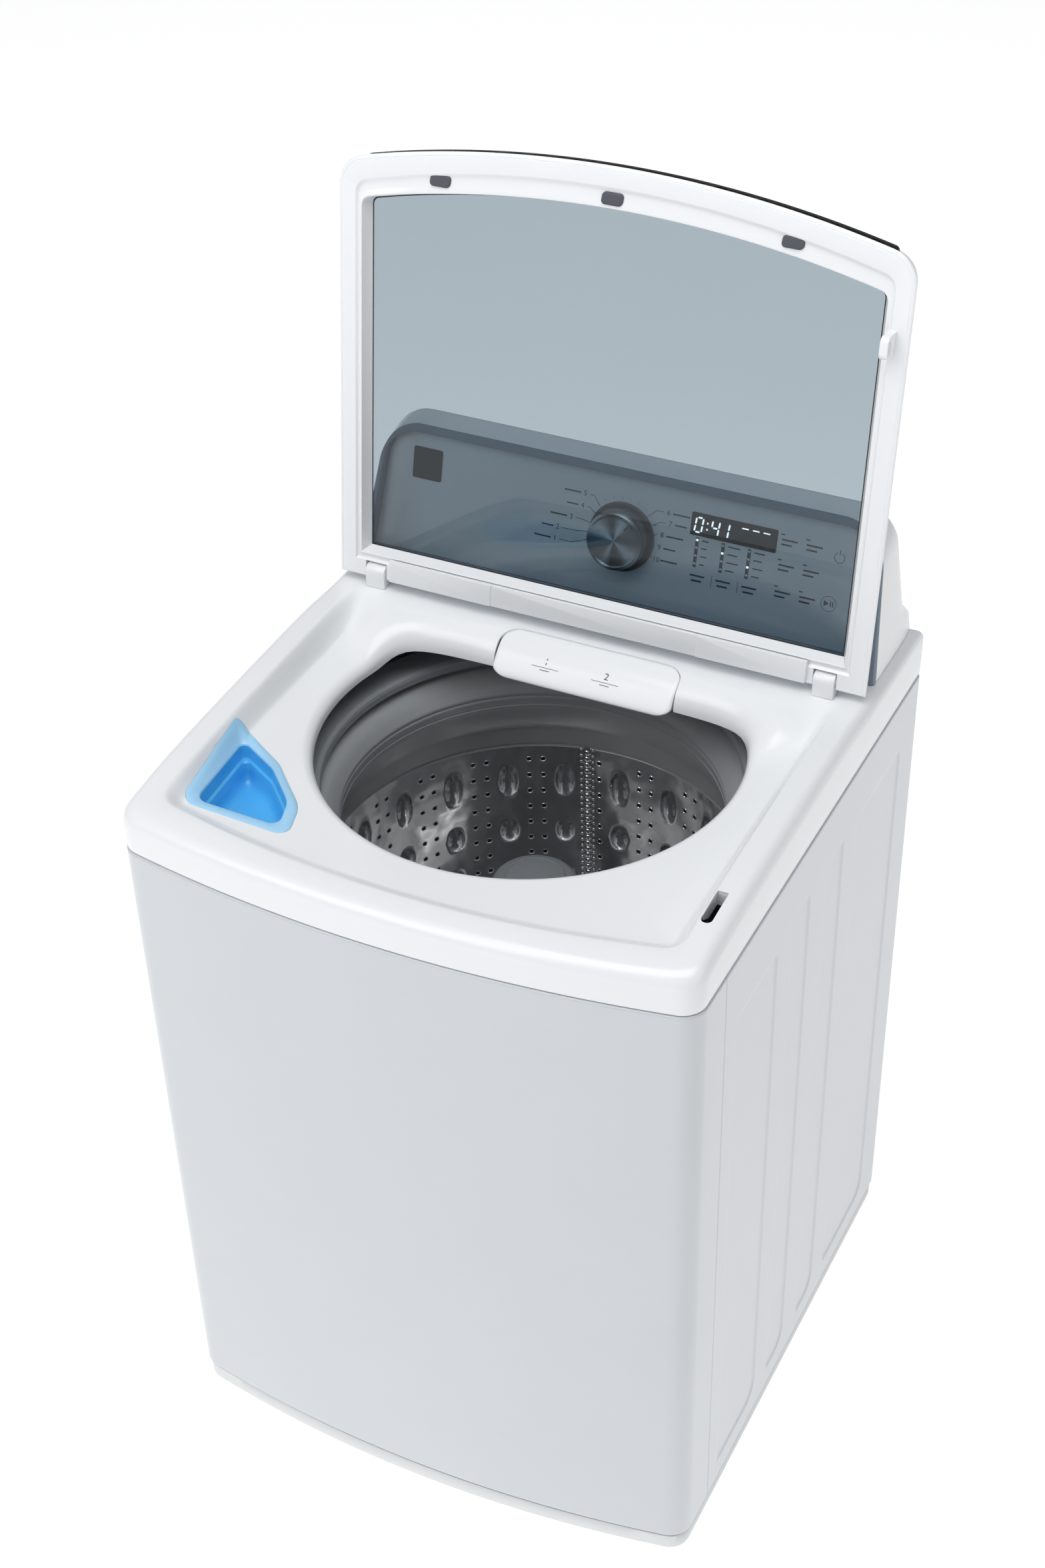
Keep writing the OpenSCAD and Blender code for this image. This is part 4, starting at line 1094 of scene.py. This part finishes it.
def bar(shape, x, l, width, height, top=0.18):
    shape.box((x - width / 2, x + width / 2), (l - height / 2, l + height / 2), (0.01, top))


def ring_mark(shape, x, l, radius, line=0.7, gap=0.0):
    """A printed circle, open at the top by gap degrees on each side."""
    arc = steps(math.radians(90 + gap), math.radians(450 - gap), 24)
    outer = [(x + (radius + line / 2) * math.cos(a), l + (radius + line / 2) * math.sin(a)) for a in arc]
    inner = [(x + (radius - line / 2) * math.cos(a), l + (radius - line / 2) * math.sin(a)) for a in arc]
    for (a, b), (c, d) in zip(zip(outer, outer[1:]), zip(inner, inner[1:])):
        shape.prism([a, b, d, c], 0.01, 0.18)


def figures(shape, entries, base=0.0):
    """Printed numbers: entries are (number, across, along, size)."""
    for text, x, l, size in entries:
        data = bpy.data.curves.new("figure", "FONT")
        data.body = text
        data.size = size
        data.align_x = "CENTER"
        data.align_y = "CENTER"
        data.extrude = 0.08
        data.resolution_u = 3
        letter = place("figure", data)
        mesh = bpy.data.meshes.new_from_object(letter.evaluated_get(bpy.context.evaluated_depsgraph_get()))
        start = len(shape.points)
        shape.points.extend((x + v.co.x, l + v.co.y, base + 0.09 + v.co.z) for v in mesh.vertices)
        shape.faces.extend(tuple(start + k for k in p.vertices) for p in mesh.polygons)
        bpy.data.objects.remove(letter)
        bpy.data.curves.remove(data)
        bpy.data.meshes.remove(mesh)


SEGMENTS = {
    "0": "abcdef", "1": "bc", "4": "fgbc",
}


def seven_segment(shape, digit, x, l, height):
    """One digit of a segment display, standing a little aslant."""
    w = height / 2
    bars = {
        "a": (0, height / 2, w, 0), "g": (0, 0, w, 0), "d": (0, -height / 2, w, 0),
        "f": (-w / 2, height / 4, 0, height / 2), "b": (w / 2, height / 4, 0, height / 2),
        "e": (-w / 2, -height / 4, 0, height / 2), "c": (w / 2, -height / 4, 0, height / 2),
    }
    line = height * 0.11
    for key in SEGMENTS[digit]:
        cx, cl, across, along = bars[key]
        if across:
            tip, shoulder = w / 2 - line * 0.7, w / 2 - line * 1.2
            loop = [(-tip, 0), (-shoulder, -line / 2), (shoulder, -line / 2),
                    (tip, 0), (shoulder, line / 2), (-shoulder, line / 2)]
        else:
            tip, shoulder = along / 2 - line * 0.3, along / 2 - line * 0.8
            loop = [(0, -tip), (line / 2, -shoulder), (line / 2, shoulder),
                    (0, tip), (-line / 2, shoulder), (-line / 2, -shoulder)]
        shape.prism([(x + cx + a + (cl + b) * 0.1, l + cl + b) for a, b in loop], 0.78, 0.92)


def words(shape, x0, x1, l, height=1.8):
    """A printed label, without its words: one bar, or two where it is long."""
    if x1 - x0 < 22:
        bar(shape, (x0 + x1) / 2, l, x1 - x0, height)
        return
    gap = mix(x0, x1, 0.56)
    bar(shape, (x0 + gap) / 2 - 0.6, l, gap - x0 - 1.2, height)
    bar(shape, (x1 + gap) / 2 + 0.6, l, x1 - gap - 1.2, height)


def panel_marks():
    ink = Shape()
    white = Shape()
    lit = Shape()
    left = [(117, -47, -30, 105), (102, -49, -36, 96), (86, -62, -40.5, 84), (70.5, -78, -42, 73),
            (56, -80, -40.5, 64)]
    right = [(115.5, 51, 27, 104), (103, 54.5, 35, 96), (88, 46, 39, 85), (73, 44, 40, 73),
             (58.5, 42, 38, 63)]
    for side, rows in ((-1, left), (1, right)):
        for k, (l, end, knob_x, knob_end) in enumerate(rows):
            points = [(end - side * 2.5, l), (mix(end, knob_x, 0.45), l), (knob_x, knob_end)]
            for (x0, l0), (x1, l1) in zip(points, points[1:]):
                size = math.hypot(x1 - x0, l1 - l0)
                nx, nl = -(l1 - l0) / size * 0.3, (x1 - x0) / size * 0.3
                loop = [(x0 + nx, l0 + nl), (x1 + nx, l1 + nl), (x1 - nx, l1 - nl), (x0 - nx, l0 - nl)]
                ink.prism(loop, 0.01, 0.18)
            number = str(5 - k) if side < 0 else str(6 + k)
            figures(ink, [(number, end + side * 3.5, l, 9)])
            far = end + side * (24 if k % 2 else 30)
            words(ink, min(end + side * 9, far), max(end + side * 9, far), l)
    levels = (92, 83, 73.5, 64)
    for column, (x, wide) in enumerate([(93, 8), (125, 15), (157, 13)]):
        ink.box((x - 2, x + 2), (60, 95), (0.01, 0.15))
        for k, l in enumerate(levels):
            bar(lit if k == column else white, x, l, 2.8, 2.4, 0.3)
            words(ink, x + 6, x + 6 + wide * (1, 0.8, 0.95, 0.7)[k], l, 1.5)
        words(ink, x - 4, x + 14, 50, 2.0)
        words(ink, x - 2, x + 11, 44, 2.0)
    for x in (116, 148):
        bar(ink, x, 47, 0.5, 14)
    for x in (193, 223):
        for l in (120.5, 91, 59.7):
            bar(ink, x + 1, l, 4.5, 1.5)
            words(ink, x, x + 19, l - 6, 2.0)
            words(ink, x, x + 13, l - 11.5, 2.0)
    ring_mark(ink, 263, 108, 6, gap=28)
    bar(ink, 263, 114, 0.8, 6)
    ring_mark(ink, 258, 53, 9, line=0.5)
    arrow = [(-5.5, -3.4), (0.6, 0), (-5.5, 3.4)]
    ink.prism([(258 + a, 53 + b) for a, b in arrow], 0.01, 0.18)
    for dx in (2.6, 5.2):
        bar(ink, 258 + dx, 53, 1.1, 6.6)
    add("panel_print", ink.moved(on_panel), "panel_silver", material=INK)
    add("panel_pale_marks", white.moved(on_panel), "panel_silver", material=PALE_INK)
    for digit, x in (("0", 93), ("4", 113), ("1", 125)):
        seven_segment(lit, digit, x, 110, 17)
    for dl in (-3.6, 3.6):
        lit.box((102.4, 104.2), (110 + dl - 0.9, 110 + dl + 0.9), (0.78, 0.92))
    for x in (145, 158, 171):
        lit.box((x, x + 8), (116.5, 117.8), (0.78, 0.92))
    add("panel_lights", lit.moved(on_panel), "display_black", material=LIT)
    badge = Shape().solid([
        [(x, l, m) for x, l in rounded_box((-275, -237), (91, 129), 2.5 - d, 5)]
        for d, m in [(0, 0.0), (0, 0.5), (0.6, 0.8)]
    ]).moved(on_panel)
    add("blank_badge", badge, "display_black")


def knob():
    base, tip = (Vector(on_panel(0, KNOB_UP, out)) for out in (0, 1))
    lean = (tip - base).normalized().to_track_quat("Z", "X")
    matrix = Matrix.Translation(base * MM) @ lean.to_matrix().to_4x4()
    body = [
        (0, -7.9), (3.9, -7.9), (3.9, 3.5), (35.2, 3.5), (35.9, 4.2), (36, 6), (35.5, 18), (35.2, 20.4),
        (34.2, 21.2), (33.4, 21.3), (0, 21.3),
    ]
    add("knob_skirt", Shape().lathe(body, 128, loop=False), "dark_plastic", "knob",
        replaces=["control_knob"], matrix=matrix, material=NAVY)
    face = [(0, 20.6), (34.2, 20.6), (34.5, 21.6), (34.2, 23.6), (33.2, 25.2), (31.8, 25.9), (30.6, 25.8),
            (29.6, 25.2), (28, 24.9), (14, 24.3), (0, 24.1)]
    # The cap's chrome has painted highlights: bright and dark wedges by angle.
    add("knob_cap", Shape().lathe(face, 128, loop=False), "knob_chrome", "knob", matrix=matrix,
        material=KNOB_FACE_PAINTED_HIGHLIGHTS)
    mark = Shape().box((-0.8, 0.8), (19, 28.5), (24.6, 25.2))
    turn = Matrix.Rotation(math.radians(-128), 4, "Z")
    add("knob_pointer", mark, "knob_chrome", "knob", matrix=matrix @ turn, material=INK)
    ring = [(4.8, 0.02), (40.6, 0.02), (41, 0.6), (41, 1.8), (40.4, 2.6), (39, 3), (37.6, 2.9), (36.9, 2.3),
            (36.6, 1.4), (4.8, 1.4)]
    add("knob_bezel", Shape().lathe(ring, 128), "dark_plastic", replaces=["knob_ring"], matrix=matrix,
        material=NAVY)
    ticks = Shape()
    for k in range(10):
        a = math.radians(-62 + 13.5 * k)
        c, s = math.cos(a), math.sin(a)
        corners = ((44.5, 0.3), (46.5, 0.3), (46.5, -0.3), (44.5, -0.3))
        ticks.prism([(r * c - w * s, r * s + w * c) for r, w in corners], 0.01, 0.18)
    add("knob_ticks", ticks, "panel_silver", matrix=matrix, material=INK)


console_housing()
facia()
panel_marks()
knob()
face_marks()

# Drum
low, high = mm("basket")
AXIS = ((low.x + high.x) / 2, (low.y + high.y) / 2)
DRUM_R = high.x - 1.5
DRUM_TOP = high.z
PANELS = 22
PITCH = 360 / PANELS
BUMPS = [(655, 708), (584, 621), (500, 553), (430, 467), (345, 398)]
BUMP_AT = -0.8
HOLES_AT = 7.4
HOLE_TOP = 713.4
HOLE_STEP = 24.6


def around(angle, radius, z):
    """A point on the drum: angle in degrees from the rear towards the right."""
    a = math.radians(angle)
    return (AXIS[0] + radius * math.sin(a), AXIS[1] + radius * math.cos(a), z)


def bump_height(offset, z):
    """How far the wall bulges inwards at an angle from the middle of a column of bumps."""
    tall = 0.0
    for z0, z1 in BUMPS:
        u = offset * math.radians(1) * DRUM_R / 12.5
        v = (z - (z0 + z1) / 2) / ((z1 - z0) / 2)
        tall = max(tall, 5.0 * (1 - min((u * u + v * v) ** 1.2, 1)))
    return tall


def drum_wall():
    offsets = [-8.18, -6.2, -4.6, -3.6, -3.05, -2.75, -2.4, -1.8, -1.0, 0, 1.0, 1.8, 2.4, 2.75, 3.05, 3.6,
               4.6, 6.2]
    columns = [(BUMP_AT + PITCH * k + o, o) for k in range(PANELS) for o in offsets]
    heights = [(20, 280.0), (10, 280.8), (4, 283.6), (1, 288)]
    heights += [(0, z) for z in steps(291, DRUM_TOP - 2, 148)]
    rows = []
    for inset, z in heights:
        rows.append([around(a, DRUM_R - inset - bump_height(o, z), z) for a, o in columns])
    wall = add("drum_wall", Shape().rows(rows, closed=True), "drum_steel", "basket", replaces=["basket"],
               facing=False)
    thicken(wall, 1.2)


def hole_places():
    for k in range(PANELS):
        for side in (-2.0, 2.0):
            z = HOLE_TOP
            while z > 296:
                yield HOLES_AT + PITCH * k + side, z
                z -= HOLE_STEP


def drum_holes():
    """Punched holes: a rolled edge of steel round a near-black disc, painted shade where the hole opens into
    the dark.
    """
    edges = Shape()
    shade_discs = Shape()
    turns = [2 * math.pi * i / 14 for i in range(14)]
    for angle, z in hole_places():
        def ring(radius, lift):
            return [
                around(angle + math.degrees(radius * math.cos(t) / DRUM_R), DRUM_R - lift,
                       z + radius * math.sin(t))
                for t in turns
            ]
        edges.rows([ring(4.1, -0.1), ring(3.6, 0.45), ring(3.0, 0.6), ring(2.6, 0.25)], closed=True)
        # Painted shade: a dark disc fills each hole.
        shade_discs.cap(ring(2.7, 0.22))
    add("drum_hole_edges", edges, "drum_steel", "basket")
    add("drum_hole_painted_shade", shade_discs, "drum_steel", "basket", material=SHADE_PAINT)


def drum_seam():
    """The closing seam of the wall: a chain of round beads with small domes beside it."""
    shape = Shape()
    at = -10.5
    z = 300.0
    turns = [2 * math.pi * i / 16 for i in range(16)]

    def dome(offset, z, radius, rise):
        rings = []
        for t in (1.0, 0.92, 0.75, 0.5, 0.22, 0.02):
            lift = rise * math.sqrt(max(1 - t * t, 0))
            rings.append([
                around(at + math.degrees((offset + radius * t * math.cos(p)) / DRUM_R), DRUM_R + 0.05 - lift,
                       z + radius * t * math.sin(p)) for p in turns
            ])
        shape.rows(rings, closed=True).cap(rings[-1])

    heights = steps(292, 736, 60)
    shape.rows([
        [around(at + math.degrees(side / DRUM_R), DRUM_R - lift, h) for h in heights]
        for side, lift in [(-4.6, -0.05), (-4.2, 0.5), (4.2, 0.5), (4.6, -0.05)]
    ])
    while z < 734:
        dome(0, z, 4.2, 2.6)
        dome(-7.6, z + 4.7, 2.1, 1.2)
        dome(7.6, z + 4.7, 2.1, 1.2)
        z += 9.5
    add("drum_seam", shape, "drum_steel", "basket")


def balance_ring():
    profile = [
        (250.2, 738.6), (249.6, 741), (246.5, 753), (243.3, 766.5), (242.6, 768.4), (240.6, 769.2),
        (240.2, 771), (236.5, 778), (230, 792), (224.5, 806), (222.3, 813), (222.0, 815.6),
        (222.8, 816.4), (222.9, 817.6), (222.0, 818.4), (221.9, 823), (221.2, 824.4), (221.0, 826),
        (221.3, 827.6), (222.2, 828.6), (222.3, 830.2), (221.4, 831.2), (221.1, 833), (221.5, 834.8),
        (222.6, 836.4), (226, 843), (232, 850), (239, 854.6), (247, 857.2), (251.4, 858), (252.2, 859.2),
        (253.6, 859.9), (255, 859.2), (255.8, 858), (260, 857.6), (264.6, 856.8), (266.8, 855),
        (267.8, 852), (268, 849), (268, 734), (264, 724), (252, 724), (252, 738.6),
    ]
    add("balance_ring_moulding", Shape().lathe(profile, 180, AXIS), "balance_grey", "basket",
        replaces=["balance_ring"], angle=28)


def agitator():
    post = [
        (168, 288), (168, 290.5), (166.5, 292.4), (150, 300), (128, 307.5), (110, 316), (96, 326), (84, 338),
        (76, 350), (69, 372), (63.5, 395), (60, 430), (56, 480), (50, 560), (46, 620), (43, 660), (42, 680),
        (43, 698), (44, 703), (44, 706), (40, 706), (38, 680), (41, 620), (46, 560), (52, 480), (58, 400),
        (72, 348), (107, 312), (148, 296), (164, 288),
    ]
    shape = Shape().lathe(post, 144, AXIS)
    for turn in range(0, 360, 90):
        rows = []
        for z, reach in [(640, 50), (620, 62), (600, 70), (560, 80), (520, 92), (470, 104), (420, 112),
                         (375, 127), (340, 139), (322, 145), (308, 149), (300, 150)]:
            twist = (z - 470) * 0.05
            base = 38 if z > 400 else lookup(z, [(300, 140), (318, 104), (345, 74), (400, 54)])
            loop = []
            for along, across in [(0, 7), (0.5, 5), (0.85, 4), (0.96, 3), (1, 0), (0.96, -3), (0.85, -4),
                                  (0.5, -5), (0, -7)]:
                r = mix(base, reach, along)
                a = math.radians(turn + 20 + twist * along)
                loop.append((
                    AXIS[0] + r * math.cos(a) - across * math.sin(a),
                    AXIS[1] + r * math.sin(a) + across * math.cos(a),
                    z,
                ))
            rows.append(loop)
        shape.rows(rows, closed=True).cap(rows[0]).cap(rows[-1])
    add("agitator_moulding", shape, "agitator_grey", "agitator", replaces=["agitator"], angle=45)
    top = mm("agitator_cap")[1].z - 33
    cap = [(0, top)]
    cap += [(r * 0.78, top - 9 * (r / 62) ** 2.6) for r in (12, 24, 34, 42, 50, 56, 60)]
    cap += [(49.6, top - 10.6), (51, top - 13.4), (51.5, top - 16.6), (51.5, 708), (50.8, 706), (44, 705.6),
            (43, top - 16), (38, top - 12), (0, top - 6)]
    dome = Shape().lathe(cap, 128, AXIS, loop=False)
    ring = [(33.4, top - 3.9), (33.8, top - 2.9), (34.8, top - 2.6), (35.8, top - 3.3), (36.0, top - 4.6)]
    dome.lathe(ring, 128, AXIS)
    add("agitator_dome", dome, "agitator_cap_grey", "agitator", replaces=["agitator_cap"], angle=35)


drum_wall()
drum_holes()
drum_seam()
balance_ring()
agitator()

# Frame nodes that stay as they are
for name in ("base_frame", "outer_tub", "tub_cover_ring", "foot_front_left", "foot_front_right",
             "foot_rear_left", "foot_rear_right", "bearing_housing", "pump_motor", "inlet_valve"):
    round_edges(frame["nodes"][name], 0.8, 35)


# Floor, light and camera
def floor():
    mesh = bpy.data.meshes.new("floor")
    side = 30.0
    mesh.from_pydata([(-side, -side, 0), (side, -side, 0), (side, side, 0), (-side, side, 0)], [],
                     [(0, 1, 2, 3)])
    thing = place("floor", mesh)
    paint = surface("studio floor", (0.93, 0.93, 0.93), rough=0.9, grain=4, relief=0.0, mottle=0.003,
                    specular=0.0)
    shader = paint.node_tree.nodes["Principled BSDF"]
    shader.inputs["Emission Color"].default_value = (1, 1, 1, 1)
    shader.inputs["Emission Strength"].default_value = 0.6
    mesh.materials.append(paint)


def softbox(name, spot, target, size, power):
    data = bpy.data.lights.new(name, "AREA")
    data.shape = "RECTANGLE"
    data.size, data.size_y = size
    data.energy = power
    lamp = place(name, data)
    lamp.location = spot
    lamp.rotation_euler = (Vector(target) - Vector(spot)).to_track_quat("-Z", "Y").to_euler()


def world():
    """A white studio, brighter overhead."""
    sky = bpy.data.worlds.new("studio")
    bpy.context.scene.world = sky
    sky.use_nodes = True
    tree = sky.node_tree
    back = tree.nodes["Background"]
    toward = shade(tree, "TexCoord", {}, "Generated")
    lean = shade(tree, "VectorMath", {0: toward, 1: (-0.36, -0.08, 0.8)}, "Value", operation="DOT_PRODUCT")
    sheen = shade(tree, "ValToRGB", {"Fac": lean}, "Color")
    ends = sheen.node.color_ramp.elements
    ends[0].color = (0.46, 0.475, 0.49, 1)
    ends[1].position = 0.75
    fill(tree, back, {"Color": sheen})
    back.inputs["Strength"].default_value = 0.42


def camera():
    """The camera's place and turn: over the right front corner, looking down into the drum."""
    spot = Vector((1.02266, -2.02503, 2.55078))
    turn, pitch, roll = (math.radians(a) for a in (27.228, 40.473, -1.889))
    ahead = Vector((-math.sin(turn) * math.cos(pitch), math.cos(turn) * math.cos(pitch), -math.sin(pitch)))
    level = Vector((math.cos(turn), math.sin(turn), 0))
    upright = level.cross(ahead)
    right = math.cos(roll) * level + math.sin(roll) * upright
    up = -math.sin(roll) * level + math.cos(roll) * upright
    data = bpy.data.cameras.new("camera")
    data.sensor_width = 36
    data.lens = 56.949
    data.shift_x = 0.00208
    data.shift_y = 0.10731
    thing = place("camera", data)
    matrix = Matrix((right, up, -ahead)).transposed().to_4x4()
    matrix.translation = spot
    thing.matrix_world = matrix
    bpy.context.scene.camera = thing


floor()
world()
softbox("key", (-1.4, -2.6, 3.6), (0, 0, 0.8), (2.4, 2.4), 44)
softbox("top", (0.35, -0.7, 3.8), (0, 0, 0.9), (2.4, 1.8), 42)
softbox("fill", (3.2, -1.0, 2.2), (0, 0, 0.6), (2.2, 2.2), 3)
camera()
bpy.context.scene.view_settings.view_transform = "Standard"
